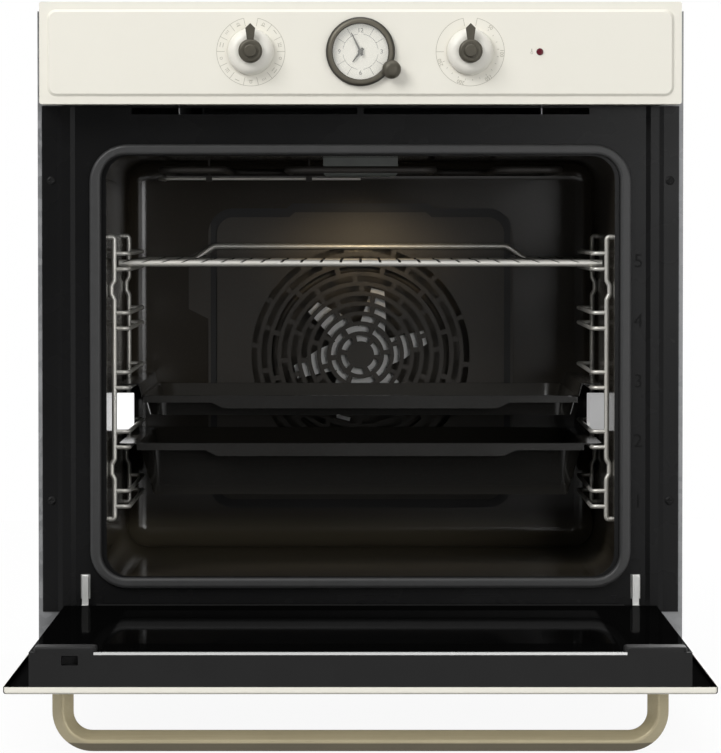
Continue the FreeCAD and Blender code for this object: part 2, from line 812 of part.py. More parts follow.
dial = piece("clock_dial")
dial_face = panel_front - 1
arbor, pipe, pipe_room = 0.8, 1.5, 0.4
slab(dial, "XZ", dial_face, panel_front, Ring(0, 0, dial_radius - S.run_gap), Ring(0, 0, pipe + pipe_room),
     centre=(0, control))
crystal = piece("clock_glass")
crystal_front, crystal_back = bezel_front + 0.8, bezel_front + 2
slab(crystal, "XZ", crystal_front, crystal_back, Ring(0, 0, dial_radius - S.run_gap), centre=(0, control))


def clock_hand(label, back, length, width, turn, hub, shaft, shaft_end):
    """A tapered hand with its hub and its arbor."""
    hand = piece(label)
    tail, tip = 4, width / 3
    blade = [(-width, -tail), (width, -tail), (tip, length), (-tip, length)]
    slab(hand, "XZ", back - S.hand_gauge, back, blade, centre=(0, control), turn=turn)
    slab(hand, "XZ", back - S.hand_gauge, back, Ring(0, 0, hub), centre=(0, control))
    slab(hand, "XZ", back, shaft_end, Ring(0, 0, shaft), centre=(0, control))
    return hand


hour_back = dial_face - 1.1
minute_back = hour_back - S.hand_gauge - 0.9
pipe_end = panel_back + 4
arbor_end = panel_back + 8
arbor_play = 0.5
hour = clock_hand("hour_hand", hour_back, S.hour_length, width=1.5, turn=S.hour_turn, hub=2.6,
                  shaft=pipe, shaft_end=pipe_end)
hollow(hour, "XZ", hour_back - S.hand_gauge, pipe_end, Ring(0, 0, arbor + S.run_gap), centre=(0, control))
clock_hand("minute_hand", minute_back, S.minute_length, width=1.2, turn=S.minute_turn, hub=2,
           shaft=arbor, shaft_end=arbor_end)

movement = piece("clock_movement")
movement_back = panel_back + 18
slab(movement, "XZ", panel_back, movement_back, Ring(0, 0, movement_radius), centre=(0, control))
hollow(movement, "XZ", panel_back, pipe_end + arbor_play, Ring(0, 0, pipe + S.run_gap), centre=(0, control))
hollow(movement, "XZ", pipe_end, arbor_end + arbor_play, Ring(0, 0, arbor + S.run_gap), centre=(0, control))

setting = piece("clock_set_knob")
setting_seat = bezel_front - S.fit_gap
setting_face = setting_seat - 8.5
setting_end = panel_back + 6
face_round, seat_round = 6, 2
turned(setting, "XY", setter[1], (setter[0], 0), "V_Axis",
       [(0, setting_face), (S.setter_radius, setting_face, face_round),
        (S.setter_radius, setting_seat, seat_round), (setter_stem, setting_seat),
        (setter_stem, setting_end), (0, setting_end)])

indicator = piece("indicator_lamp")
lamp_face, lamp_end, lamp_round = panel_front - 1.5, panel_back + 12, 1.2
turned(indicator, "XY", control, (S.lamp_across, 0), "V_Axis",
       [(0, lamp_face), (S.lamp_radius, lamp_face, lamp_round), (S.lamp_radius, lamp_end), (0, lamp_end)])

# Lamps of the cooking space
lens = piece("lamp_lens")
slab(lens, "XY", cavity_top - lens_drop, cavity_top + wall,
     rect(-half_lens, half_lens, lens_front, lens_rear))
lens_base = number(cavity_top - lens_drop)
lens_round = 5
soften(lens, lens_round, lambda box: box.ZMax < lens_base + 0.01)
holder = piece("lamp_holder")
holder_lap, holder_inset, holder_corner, holder_top = 4, 6, 8, wool_high - 2
slab(holder, "XY", cavity_top + wall, cavity_top + 2 * wall,
     rect(-half_lens - holder_lap, half_lens + holder_lap, lens_front - holder_lap, lens_rear + holder_lap))
slab(holder, "XY", cavity_top + wall, holder_top,
     rect(-half_lens + holder_inset, half_lens - holder_inset, lens_front + holder_inset,
          lens_rear - holder_inset, holder_corner))
side_lens_corner = 4
for name, side in SIDES:
    side_lens = piece(f"side_lens_{name}")
    slab(side_lens, "YZ", side * (half_cavity - side_lens_reach), side * (half_cavity + wall),
         rect(side_lens_front, side_lens_rear, side_lens_low, side_lens_high, side_lens_corner))

# Back of the cooking space: slotted guard, fan, its motor and the ring heater
guard = piece("fan_guard")
half_guard = S.guard_width / 2
corner = S.guard_corner
lug_low, lug_high, lug_slope = fan_height + 47, fan_height + 101, 10
lug_edge = -half_guard - 20
step_foot, step_head, step_up, step_lap = 73, 67, 5, 3
rim_foot, rim_head = step_foot + step_lap, step_head + step_lap
guard_edge = [(-half_guard, guard_low, corner), (half_guard, guard_low, corner),
              (half_guard, guard_high, corner), (rim_foot, guard_high), (rim_head, guard_high + step_up),
              (-rim_head, guard_high + step_up), (-rim_foot, guard_high), (-half_guard, guard_high, corner),
              (-half_guard, lug_high + lug_slope), (lug_edge, lug_high), (lug_edge, lug_low),
              (-half_guard, lug_low - lug_slope)]
slab(guard, "XZ", guard_face, S.cavity_depth, guard_edge)
field_half = half_guard - S.guard_border
field_low, field_high = guard_low + S.guard_border, guard_high - S.guard_border


def field_edge(inset):
    """Outline of the raised field, with the step at its top, drawn in by inset."""
    half, low, high = field_half - inset, field_low + inset, field_high - inset
    turn = corner - S.guard_border
    return [(-half, low, turn), (half, low, turn), (half, high, turn), (step_foot, high),
            (step_head, high + step_up), (-step_head, high + step_up), (-step_foot, high), (-half, high, turn)]


slab(guard, "XZ", guard_front, guard_face, field_edge(0))
hollow(guard, "XZ", guard_front + S.guard_gauge, S.cavity_depth, field_edge(S.guard_gauge))
hollow(guard, "XZ", guard_face, S.cavity_depth, *[Ring(*spot, screw_room) for spot in guard_screws])


def arc_slots(body, radius, begin, count):
    """One ring of curved slots between radial webs."""
    pocket = body.newObject("PartDesign::Pocket", f"{body.Label}_slots")
    sketch = sketch_on(body, "XZ", guard_front, [], (0, fan_height))
    inner, outer = radius - S.slot_width / 2, radius + S.slot_width / 2
    first = math.radians(begin)
    last = first + 2 * math.pi / count - number(S.slot_web) / number(radius)
    upright = Vector(0, 0, 1)
    arcs = [sketch.addGeometry(Part.ArcOfCircle(Part.Circle(Vector(), upright, number(size)), first, last))
            for size in (inner, outer)]
    rules = []
    for angle, place in ((first, 1), (last, 2)):
        ray = Vector(math.cos(angle), math.sin(angle), 0)
        web = sketch.addGeometry(Part.LineSegment(ray * number(inner), ray * number(outer)))
        rules.append(Sketcher.Constraint("Coincident", web, 1, arcs[0], place))
        rules.append(Sketcher.Constraint("Coincident", web, 2, arcs[1], place))
        rules.append(Sketcher.Constraint("PointOnObject", -1, 1, web))
        rules.append(Sketcher.Constraint("Angle", web, angle))
    for arc in arcs:
        rules.append(Sketcher.Constraint("Coincident", arc, 3, -1, 1))
    sketch.addConstraint(rules)
    for arc, size in zip(arcs, (inner, outer)):
        rule = sketch.addConstraint(Sketcher.Constraint("Radius", arc, number(size)))
        bind(sketch, f"Constraints[{rule}]", size)
    pocket.Profile = sketch
    bind(pocket, "Length", S.guard_gauge)
    around(body, [pocket], as_size(count))


for ring in range(int(number(S.slot_rings))):
    arc_slots(guard, S.slot_first + ring * S.slot_pitch, ring * number(S.slot_swirl), 6 + 2 * (ring // 2))

fan = piece("convection_fan")
hub = (0, fan_height)
fan_front = S.cavity_depth + 6
plate = 1.5
slab(fan, "XZ", fan_front, fan_front + plate, Ring(0, 0, S.fan_hub), centre=hub)
motor_front = recess_back + wall
shaft_front, shaft_end, shaft_play = fan_front - 2, motor_front + 16, 2
slab(fan, "XZ", shaft_front, shaft_end, Ring(0, 0, S.fan_shaft), centre=hub)
blade_start, blade_lead = S.fan_hub / 2, 5
blade_mid = S.fan_radius * 0.6
petal = slab(fan, "XZ", fan_front, fan_front + plate,
             [(-S.blade_back, blade_start), (S.blade_belly, blade_start + blade_lead),
              (S.blade_waist, blade_mid), (S.blade_tip, S.fan_radius), (-S.blade_tip, S.fan_radius),
              (-S.blade_back, S.fan_hub)],
             centre=hub, turn=S.fan_turn)
vane = slab(fan, "XZ", fan_front, fan_front + S.blade_depth,
            [(-S.blade_back, S.fan_hub), (plate - S.blade_back, S.fan_hub),
             (plate - S.blade_tip, S.fan_radius), (-S.blade_tip, S.fan_radius)], centre=hub, turn=S.fan_turn)
around(fan, [petal, vane], S.fan_blades)

motor = piece("fan_motor")
strap_across, strap_up, strap_corner, strap_back = 55, 24, 8, motor_front + 2
slab(motor, "XZ", motor_front, strap_back,
     rect(-strap_across, strap_across, -strap_up, strap_up, strap_corner), centre=hub)
slab(motor, "XZ", strap_back, motor_front + S.motor_length, Ring(0, 0, S.motor_radius), centre=hub)
hollow(motor, "XZ", motor_front, shaft_end + shaft_play, Ring(0, 0, S.fan_shaft + S.run_gap), centre=hub)

ring_place = S.cavity_depth + S.recess_depth / 2
ring_tube = place_at(doc.addObject("Part::Torus", "ring_tube"), (0, ring_place, fan_height), "Y")
bind(ring_tube, "Radius1", S.ring_heater_radius)
bind(ring_tube, "Radius2", S.heater_radius)
ring_low = fan_height - S.ring_heater_radius + 1.2
leg_across, leg_radius = 14, S.heater_radius - 0.3
ring_legs = [bar("Y", (side * leg_across, ring_place, ring_low), leg_radius, recess_back - ring_place)
             for _, side in SIDES]
pieces.append(fused("ring_heater", [ring_tube, *ring_legs]))

# Rod heaters: the grill under the ceiling, the other under the floor
half_grill = S.grill_width / 2
rod_bend, grill_pitch, grill_lead, grill_end = 14, 60, 30, S.cavity_depth - 3.2
grill_front, grill_loop, grill_back = 70, 325, 372
grill_next, grill_last = half_grill - grill_pitch, half_grill - 2 * grill_pitch
grill_runs = [(grill_lead, grill_end), (grill_lead, grill_back), (half_grill, grill_back),
              (half_grill, grill_front), (grill_next, grill_front), (grill_next, grill_loop),
              (grill_last, grill_loop), (grill_last, grill_front)]
grill_path = [(across, depth, grill_height) for across, depth in grill_runs]
grill_path += [(-1 * across, depth, grill_height) for across, depth in reversed(grill_runs)]
formed("grill_element", [bent_rod(grill_path, rod_bend, S.heater_radius)])
floor_heater = S.cavity_floor - wall - S.seal_gap - S.heater_radius
floor_lead, floor_side, floor_next, floor_last = 40, 180, 120, 60
floor_front, floor_loop, floor_back = 90, 270, 340
floor_runs = [(floor_lead, S.cavity_depth), (floor_lead, floor_back), (floor_side, floor_back),
              (floor_side, floor_front), (floor_next, floor_front), (floor_next, floor_loop),
              (floor_last, floor_loop), (floor_last, floor_front)]
floor_path = [(across, depth, floor_heater) for across, depth in floor_runs]
floor_path += [(-across, depth, floor_heater) for across, depth in reversed(floor_runs)]
formed("bottom_heater", [bent_rod(floor_path, rod_bend, S.heater_radius)])

# Thermostat bulb on two clips, and the screws that hold the guard
bulb_depth, bulb_height, bulb_radius = 250, grill_height - 7, 1.6
bulb_turn, bulb_bend, bulb_end = -200, 12, S.cavity_depth - 0.4
bulb_path = [(0, bulb_depth, bulb_height), (bulb_turn, bulb_depth, bulb_height),
             (bulb_turn, bulb_end, bulb_height)]
formed("thermostat_bulb", [bent_rod(bulb_path, bulb_bend, bulb_radius)])
fixings = []
clip_half, clip_wall, strap_half = 3, 1.2, 1
clip_places = (-150, -51)
for across in clip_places:
    sleeve_reach = bulb_radius + clip_wall
    sleeve = block(across - clip_half, across + clip_half, bulb_depth - sleeve_reach, bulb_depth + sleeve_reach,
                   bulb_height - sleeve_reach, bulb_height + sleeve_reach)
    strap = block(across - strap_half, across + strap_half, bulb_depth - strap_half, bulb_depth + strap_half,
                  bulb_height + bulb_radius, cavity_top)
    hanger = doc.addObject("Part::Cut", "bulb_clip")
    hanger.Base = fused("clip_blank", [sleeve, strap])
    hanger.Tool = bar("X", (across - clip_half, bulb_depth, bulb_height), bulb_radius + S.run_gap,
                      2 * clip_half)
    fixings.append(hanger)
head_radius, head_height = 2.8, 2
for across, up in guard_screws:
    head = bar("Y", (across, guard_face - head_height, up), head_radius, head_height)
    shank = bar("Y", (across, guard_face - head_height / 2, up), guard_screw,
                head_height / 2 + S.guard_gauge + wall)
    fixings.append(fused("guard_screw", [head, shank]))
group("cavity_fixings", fixings)

# Side racks: two uprights with jogs, hooked to the wall, and a pair of runners at each level
jog, jog_slope = S.rack_wire + 0.3, 5
rack_bend, rail_bend = 2.8, 6
jogs = ((S.rack_low + 38, S.rack_low + 57), (S.rack_high - 59, S.rack_high - 41))
for name, side in SIDES:
    upright = side * S.rack_place
    kinked = side * (S.rack_place + jog)
    runner = side * (S.rack_place - S.rail_reach)
    wires = []
    for depth in (S.rack_front, S.rack_rear):
        path = [(side * half_cavity, depth, S.rack_low), (upright, depth, S.rack_low)]
        for jog_low, jog_high in jogs:
            path += [(upright, depth, jog_low), (kinked, depth, jog_low + jog_slope),
                     (kinked, depth, jog_high - jog_slope), (upright, depth, jog_high)]
        path += [(upright, depth, S.rack_high), (side * half_cavity, depth, S.rack_high)]
        wires.append(bent_rod(path, rack_bend, S.rack_wire))
    for level in range(int(number(S.rail_levels))):
        for lift in (0, S.rail_pair):
            up = S.rail_first + level * S.rail_pitch + lift
            wires.append(bent_rod([(upright, S.rack_front, up), (runner, S.rack_front, up),
                                   (runner, S.rack_rear, up), (upright, S.rack_rear, up)],
                                  rail_bend, S.rail_wire))
    formed(f"rack_{name}", wires)


def runner_top(level):
    """Height where a shelf's underside runs, just clear of the lower runner of a level."""
    return S.rail_first + (level - 1) * S.rail_pitch + S.rail_wire + S.slide_gap


# Wire shelf: bent frame with a raised stop at the back, front bar, cross bars and grid
shelf_level = 5
shelf_up = runner_top(shelf_level) + S.shelf_wire
shelf_side = S.rack_place - S.rail_reach + 1.5
stop_half = S.shelf_half - 79
stop_foot = stop_half + 20
frame_bend, frame_wire = 10, S.shelf_wire - 0.2
frame_path = [(-shelf_side, S.shelf_front, shelf_up), (-shelf_side, S.shelf_rear, shelf_up),
              (-stop_foot, S.shelf_rear, shelf_up), (-stop_half, S.shelf_rear, shelf_up + S.stop_rise),
              (stop_half, S.shelf_rear, shelf_up + S.stop_rise), (stop_foot, S.shelf_rear, shelf_up),
              (shelf_side, S.shelf_rear, shelf_up), (shelf_side, S.shelf_front, shelf_up)]
grid_back, back_wire = S.shelf_rear - 10, S.grid_wire + 0.5
grid_count = int(number(shelf_side) / number(S.grid_pitch))
shelf_wires = [bent_rod(frame_path, frame_bend, frame_wire),
               bent_rod([(-S.shelf_half, S.shelf_front, shelf_up), (S.shelf_half, S.shelf_front, shelf_up)],
                        0, S.shelf_wire),
               bent_rod([(-shelf_side, grid_back, shelf_up), (shelf_side, grid_back, shelf_up)], 0, back_wire)]
for step in range(-grid_count, grid_count + 1):
    across = step * S.grid_pitch
    grid_bar = [(across, S.shelf_front, shelf_up), (across, grid_back, shelf_up)]
    shelf_wires.append(bent_rod(grid_bar, 0, S.grid_wire))
brace, brace_wire = grid_count * S.grid_pitch + 2, S.grid_wire + 0.4
brace_depth, brace_up = (S.shelf_front + grid_back) / 2, shelf_up - 2.5
shelf_wires.append(bent_rod([(-brace, brace_depth, brace_up), (brace, brace_depth, brace_up)], 0, brace_wire))
formed("wire_shelf", shelf_wires)


tray_front = S.shelf_front - 4
tray_edge = 12


def tray_pan(tray, rim, half, drop):
    """Sloping pan hung from a flat rim, with a front lip that is deeper in the middle."""
    front, back = tray_front + 14, S.shelf_rear - tray_edge
    skin = S.tray_gauge
    slab(tray, "XY", rim, rim - drop, rect(-half, half, front, back, S.tray_corner), slope=-S.tray_slope)
    shallow, low = rim - S.lip_drop / 2, rim - S.lip_drop
    outer, inner = half - 65, half - 76
    lip = [(-half, rim), (-half, shallow), (-outer, shallow), (-inner, low), (inner, low), (outer, shallow),
           (half, shallow), (half, rim)]
    slab(tray, "XZ", tray_front, tray_front + skin, lip)
    hollow(tray, "XY", rim + skin, rim - drop + skin,
           rect(-half + skin, half - skin, front + skin, back - skin, S.tray_corner - skin),
           slope=-S.tray_slope)


deep_tray = piece("deep_tray")
deep_level = 2
deep_rim = runner_top(deep_level)
slab(deep_tray, "XY", deep_rim, deep_rim + S.tray_gauge,
     rect(-S.shelf_half, S.shelf_half, tray_front, S.shelf_rear, S.tray_corner / 2))
tray_pan(deep_tray, deep_rim, S.deep_half, S.deep_drop)

shallow_tray = piece("shallow_tray")
shallow_level = 3
wing_up = runner_top(shallow_level)
shallow_rim = wing_up - S.shallow_wing
shallow_edge = S.shallow_half + 2
slab(shallow_tray, "XY", shallow_rim, shallow_rim + S.tray_gauge,
     rect(-shallow_edge, shallow_edge, tray_front, S.shelf_rear, S.tray_corner / 2))
tray_pan(shallow_tray, shallow_rim, S.shallow_half, S.shallow_drop)
for name, side in SIDES:
    foot, knee = shallow_edge, shallow_edge + 3
    wing = [(foot - S.tray_gauge, shallow_rim), (foot, shallow_rim), (knee, wing_up), (S.shelf_half, wing_up),
            (S.shelf_half, wing_up + S.tray_gauge), (knee - S.tray_gauge, wing_up + S.tray_gauge)]
    slab(shallow_tray, "XZ", tray_front + tray_edge, S.shelf_rear - tray_edge,
         [(side * across, up) for across, up in wing])

# Cooling blower above the wool: duct and drum in one sheet, cross-flow wheel and its motor
drum_half = S.blower_radius + 8
drum_front, drum_back = S.blower_place - drum_half, S.blower_place + drum_half
drum_top = wool_high + 2 * drum_half
duct_top = wool_high + 26
half_blower = S.blower_width / 2
axle = (S.blower_place, wool_high + drum_half)
axle_radius = 3


def drum_outline(inset):
    """Side view of the duct and drum, open to the front, drawn in by the sheet's thickness."""
    curve = drum_half - inset - 2
    return [(-gauge, wool_high + inset), (drum_back - inset, wool_high + inset, curve),
            (drum_back - inset, drum_top - inset, curve), (drum_front + inset, drum_top - inset, curve / 2),
            (drum_front + inset, duct_top - inset), (-gauge, duct_top - inset)]


housing = piece("blower_housing")
slab(housing, "YZ", -half_blower, half_blower, drum_outline(as_size(0)))
hollow(housing, "YZ", -half_blower + gauge, half_blower - gauge, drum_outline(gauge))
for name, side in SIDES:
    hollow(housing, "YZ", side * (half_blower - gauge), side * half_blower,
           Ring(*axle, axle_radius + S.run_gap))

wheel = piece("blower_wheel")
half_wheel = half_blower - 14
for start in (-half_wheel, -gauge, half_wheel - 2 * gauge):
    slab(wheel, "YZ", start, start + 2 * gauge, Ring(0, 0, S.blower_radius), centre=axle)
vane_foot, vane_tip, vane_gauge, vane_lean = S.blower_radius - 9, S.blower_radius - 1, 1.5, 2.5
vane = slab(wheel, "YZ", -half_wheel, half_wheel,
            [(-1, vane_foot), (vane_gauge - 1, vane_foot), (vane_gauge + vane_lean - 1, vane_tip),
             (vane_lean - 1, vane_tip)], centre=axle)
around(wheel, [vane], S.blower_blades)
axle_end, axle_play = half_blower + 16, 2
slab(wheel, "YZ", -half_blower, axle_end, Ring(0, 0, axle_radius), centre=axle)

blower_motor = piece("blower_motor")
can_end, can_radius = half_blower + 36, S.blower_radius - 4
slab(blower_motor, "YZ", half_blower, can_end, Ring(0, 0, can_radius), centre=axle)
hollow(blower_motor, "YZ", half_blower, axle_end + axle_play, Ring(0, 0, axle_radius + S.run_gap), centre=axle)

# Terminal block for the supply, behind the opening in the rear cover
terminal = piece("terminal_block")
lead = (S.terminal_across, casing_top - S.terminal_drop)
half_terminal = S.terminal_width / 2
block_front, block_corner = rear - 24, 3
slab(terminal, "XZ", block_front, rear,
     rect(-half_terminal, half_terminal, -S.terminal_height / 2, S.terminal_height / 2, block_corner),
     centre=lead)
pole_pitch, pole_count, pole_radius, pole_floor = S.terminal_width / 6, as_size(5), 3.5, rear - 12
pole = hollow(terminal, "XZ", rear, pole_floor, Ring(-2 * pole_pitch, 0, pole_radius), centre=lead)
in_row(terminal, pole, "H_Axis", pole_pitch, pole_count)

# Door, drawn open: pressed outer panel with a window, three panes, side profiles and trims
outer_panel = piece("door_outer_panel")
half_window = S.window_width / 2
handle_depth = door_free + S.handle_inset
half_span = S.handle_span / 2
door_corner, edge_round = 3, 2.5
slab(outer_panel, "XY", door_base, door_base + S.door_rim,
     rect(-half_front, half_front, door_free, door_rear, door_corner))
panel_base = number(door_base)
soften(outer_panel, edge_round, lambda box: box.ZMax < panel_base + 0.01)
hollow(outer_panel, "XY", box_base, door_base + S.door_rim,
       rect(-half_front + S.door_skin, half_front - S.door_skin, box_free, door_rear - S.door_skin,
            door_corner - 1))
hollow(outer_panel, "XY", door_base, box_base,
       rect(-half_window, half_window, -S.window_high, -S.window_low, S.window_corner))
screw_spots = [(side * half_span, handle_depth) for _, side in SIDES]
screw_hole = S.handle_screw + S.run_gap
hollow(outer_panel, "XY", door_base, box_base, *[Ring(*spot, screw_hole) for spot in screw_spots])

half_box = S.door_box_width / 2
rail_rear = hinge_y + 5
pane_rear = rail_rear - S.bottom_rail
pane_front = box_free + 4.5
trim_back = box_free + S.trim_depth
profile_inner = half_box - S.side_profile
groove, pane_setback, pane_corner = 4, 30, 2
outer_pane = piece("door_outer_glass")
pane_half = half_window + S.window_lap
slab(outer_pane, "XY", box_base, box_base + S.pane_gauge,
     rect(-pane_half, pane_half, -S.window_high - S.window_lap, -S.window_low + S.window_lap, S.window_corner))
middle_pane = piece("door_middle_glass")
middle_low = door_base + S.pane_middle
middle_half = profile_inner + groove - S.fit_gap
slab(middle_pane, "XY", middle_low, middle_low + S.pane_gauge,
     rect(-middle_half, middle_half, trim_back + S.fit_gap, pane_rear - pane_setback))
inner_pane = piece("door_inner_glass")
slab(inner_pane, "XY", glass_base, door_top, rect(-half_box, half_box, pane_front, pane_rear, pane_corner))

bottom_rail = piece("door_bottom_rail")
channel_half = S.hinge_channel_width / 2
rail_half = S.hinge_place - channel_half - S.fit_gap
slab(bottom_rail, "XY", box_base, door_top, rect(-rail_half, rail_half, pane_rear, rail_rear))
rail_wall = 3
hollow(bottom_rail, "XY", box_base + rail_wall, door_top - rail_wall,
       rect(-rail_half + rail_wall, rail_half - rail_wall, pane_rear, rail_rear - rail_wall))

channel_front = rail_rear - S.hinge_channel_length
half_trim = S.trim_width / 2
screw_well, well_depth = S.handle_screw + 3.5, 4
latch_place, latch_half, latch_up, latch_corner, latch_depth = -242, 7, 4, 1, 10
for name, side in SIDES:
    profile = piece(f"door_side_{name}")
    groove_low, groove_high = middle_low - S.fit_gap, middle_low + S.pane_gauge + S.fit_gap
    section = [(profile_inner, box_base), (half_box, box_base), (half_box, glass_base),
               (profile_inner, glass_base), (profile_inner, groove_high), (profile_inner + groove, groove_high),
               (profile_inner + groove, groove_low), (profile_inner, groove_low)]
    slab(profile, "XZ", trim_back, channel_front - S.fit_gap, [(side * across, up) for across, up in section])
    cheek = S.hinge_place + channel_half + S.fit_gap
    slab(profile, "XZ", channel_front - S.fit_gap, rail_rear,
         rect(side * cheek, side * half_box, box_base, glass_base))
    end_block = [(box_free, box_base), (trim_back, box_base), (trim_back, glass_base), (pane_front, glass_base),
                 (pane_front, door_top), (box_free, door_top)]
    slab(profile, "YZ", side * half_trim, side * half_box, end_block)
    hollow(profile, "XY", box_base, box_base + well_depth, Ring(side * half_span, handle_depth, screw_well))
    if side < 0:
        hollow(profile, "XZ", box_free, box_free + latch_depth,
               rect(-latch_half, latch_half, -latch_up, latch_up, latch_corner),
               centre=(latch_place, glass_base - 3))

top_trim = piece("door_top_trim")
strip_base = door_top - S.trim_strip
slab(top_trim, "YZ", -half_trim, half_trim,
     [(box_free, box_base), (trim_back, box_base), (trim_back, glass_base), (pane_front, glass_base),
      (pane_front, strip_base), (box_free, strip_base)])
strip = piece("trim_strip")
slab(strip, "XY", strip_base, door_top, rect(-half_trim, half_trim, box_free, pane_front))

# Handle: squarish tube bent into a U, held by screws from inside the outer panel
handle = piece("door_handle")
run_height = door_base - S.handle_standoff - S.handle_bar / 2
route = sketch_on(handle, "XZ", handle_depth, [])
draw_outline(route, [(-half_span, door_base), (-half_span, run_height, S.handle_bend),
                     (half_span, run_height, S.handle_bend), (half_span, door_base)], closed=False)
half_bar = S.handle_bar / 2
crease = half_bar + S.handle_round * (math.sqrt(2) - 1)
creased = [(0, -crease, S.handle_round), (crease, 0, S.handle_round), (0, crease, S.handle_round),
           (-crease, 0, S.handle_round)]
section = sketch_on(handle, "XY", door_base, [creased], centre=(-half_span, handle_depth))
tube = handle.newObject("PartDesign::AdditivePipe", "handle_tube")
tube.Profile = section
tube.Spine = (route, [])
thread_depth = 12
hollow(handle, "XY", door_base, door_base - thread_depth,
       *[Ring(*spot, screw_hole) for spot in screw_spots])
screws = []
thread_play, pan_radius, pan_height = 1, 4.5, 2.4
for across, depth in screw_spots:
    shank = bar("Z", (across, depth, door_base - thread_depth + thread_play), S.handle_screw,
                thread_depth - thread_play + S.door_skin)
    head = bar("Z", (across, depth, box_base), pan_radius, pan_height)
    screws.append(fused("handle_screw", [shank, head]))
group("handle_screws", screws)

# Hinges: channel and pin in the door, arm hooked through the frame into a socket behind it
channels = []
arms = []
sockets = []
half_arm = S.hinge_arm_width / 2
pivot = (hinge_y, S.hinge_height)
strip_back = frame_face - 1.8
strip_front = frame_face - S.gasket_rise + S.seal_gap
strip_low, strip_round = S.hinge_height - 4, 1.5
hook_low, hook_high, hook_end = arm_low + 1, arm_high - 1, 18
half_socket, socket_lap, socket_back, socket_corner = 8, 3, 20, 2
for name, side in SIDES:
    centre = side * S.hinge_place
    channel = doc.addObject("PartDesign::Body", f"hinge_channel_{name}")
    slab(channel, "XZ", channel_front, rail_rear,
         rect(centre - channel_half, centre + channel_half, box_base, glass_base))
    inner = channel_half - S.hinge_channel_wall
    hollow(channel, "XZ", channel_front, rail_rear,
           rect(centre - inner, centre + inner, box_base + S.hinge_channel_wall, glass_base))
    slab(channel, "YZ", centre - channel_half, centre + channel_half, Ring(*pivot, S.hinge_pin))
    channels.append(channel)

    arm = doc.addObject("PartDesign::Body", f"hinge_arm_{name}")
    slab(arm, "YZ", centre - half_arm, centre + half_arm, Ring(*pivot, S.hinge_lug))
    slab(arm, "YZ", centre - half_arm, centre + half_arm,
         rect(hinge_y, strip_back, strip_low, S.hinge_height + S.hinge_lug))
    slab(arm, "YZ", centre - half_arm, centre + half_arm,
         rect(strip_front, strip_back, strip_low, arm_high + 1, strip_round))
    slab(arm, "YZ", centre - half_arm, centre + half_arm, rect(strip_back - 1, hook_end, hook_low, hook_high))
    hollow(arm, "YZ", centre - half_arm, centre + half_arm, Ring(*pivot, S.hinge_pin + S.run_gap))
    arms.append(arm)

    socket = doc.addObject("PartDesign::Body", f"hinge_socket_{name}")
    slab(socket, "XZ", -gauge, socket_back,
         rect(centre - half_socket, centre + half_socket, arm_low - socket_lap, arm_high + socket_lap,
              socket_corner),
         rect(centre - half_arm - S.fit_gap, centre + half_arm + S.fit_gap, hook_low - S.fit_gap,
              hook_high + S.fit_gap))
    sockets.append(socket)
group("hinge_channels", channels)
group("hinge_arms", arms)
group("hinge_sockets", sockets)

# Move the origin to the centre of the base underside
base_centre = (S.sill_setback + rear) / 2
for node in pieces:
    bind(node, "Placement.Base.y", -base_centre)
doc.recompute()

for thing in doc.Objects:
    if "Invalid" in thing.State or "Error" in thing.State:
        raise RuntimeError(f"{thing.Label} failed: {thing.State}")
for node in pieces:
    if node.Shape.isNull() or not node.Shape.isValid():
        raise RuntimeError(f"{node.Label} has no valid shape")

os.makedirs("parts", exist_ok=True)
for node in pieces:
    node.Shape.exportStep(f"parts/{node.Label}.step")
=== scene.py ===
import math

import bpy
import numpy as np
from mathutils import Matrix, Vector


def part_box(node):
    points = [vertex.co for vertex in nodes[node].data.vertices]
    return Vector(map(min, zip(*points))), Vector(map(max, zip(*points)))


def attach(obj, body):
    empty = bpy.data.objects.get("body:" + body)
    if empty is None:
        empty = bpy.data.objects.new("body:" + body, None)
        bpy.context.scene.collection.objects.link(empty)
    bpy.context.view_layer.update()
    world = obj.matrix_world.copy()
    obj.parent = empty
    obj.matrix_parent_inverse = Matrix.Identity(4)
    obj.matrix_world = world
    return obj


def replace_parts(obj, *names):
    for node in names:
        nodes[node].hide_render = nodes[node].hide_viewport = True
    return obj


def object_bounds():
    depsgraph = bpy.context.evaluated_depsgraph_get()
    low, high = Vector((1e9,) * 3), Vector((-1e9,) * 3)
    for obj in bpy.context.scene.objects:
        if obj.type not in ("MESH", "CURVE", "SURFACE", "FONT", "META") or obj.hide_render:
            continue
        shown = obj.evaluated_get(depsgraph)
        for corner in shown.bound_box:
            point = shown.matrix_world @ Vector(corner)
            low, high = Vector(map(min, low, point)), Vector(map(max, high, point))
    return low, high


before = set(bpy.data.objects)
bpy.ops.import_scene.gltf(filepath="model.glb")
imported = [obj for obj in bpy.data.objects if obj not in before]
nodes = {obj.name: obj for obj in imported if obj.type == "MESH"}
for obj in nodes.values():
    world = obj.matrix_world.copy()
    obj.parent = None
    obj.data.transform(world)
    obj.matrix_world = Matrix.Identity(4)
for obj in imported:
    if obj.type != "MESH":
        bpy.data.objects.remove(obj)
cad_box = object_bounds()

# Camera: a long lens, square on to the oven's front and a little above the racks.
# It stands 4.2 m ahead of the control panel and dips two degrees, so that uprights stay nearly upright.
panel_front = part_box("control_panel")[0].y
camera_reach, camera_height, camera_dip = 4.200, 0.393, 1.977
lens = bpy.data.cameras.new("front_lens")
lens.sensor_width = 36.0
lens.lens = 216.6
camera = bpy.data.objects.new("front_camera", lens)
camera.location = (0.0, panel_front - camera_reach, camera_height)
camera.rotation_euler = (math.radians(90.0 - camera_dip), 0.0, 0.0)
bpy.context.scene.collection.objects.link(camera)
bpy.context.scene.camera = camera
bpy.context.scene.view_settings.view_transform = "Standard"


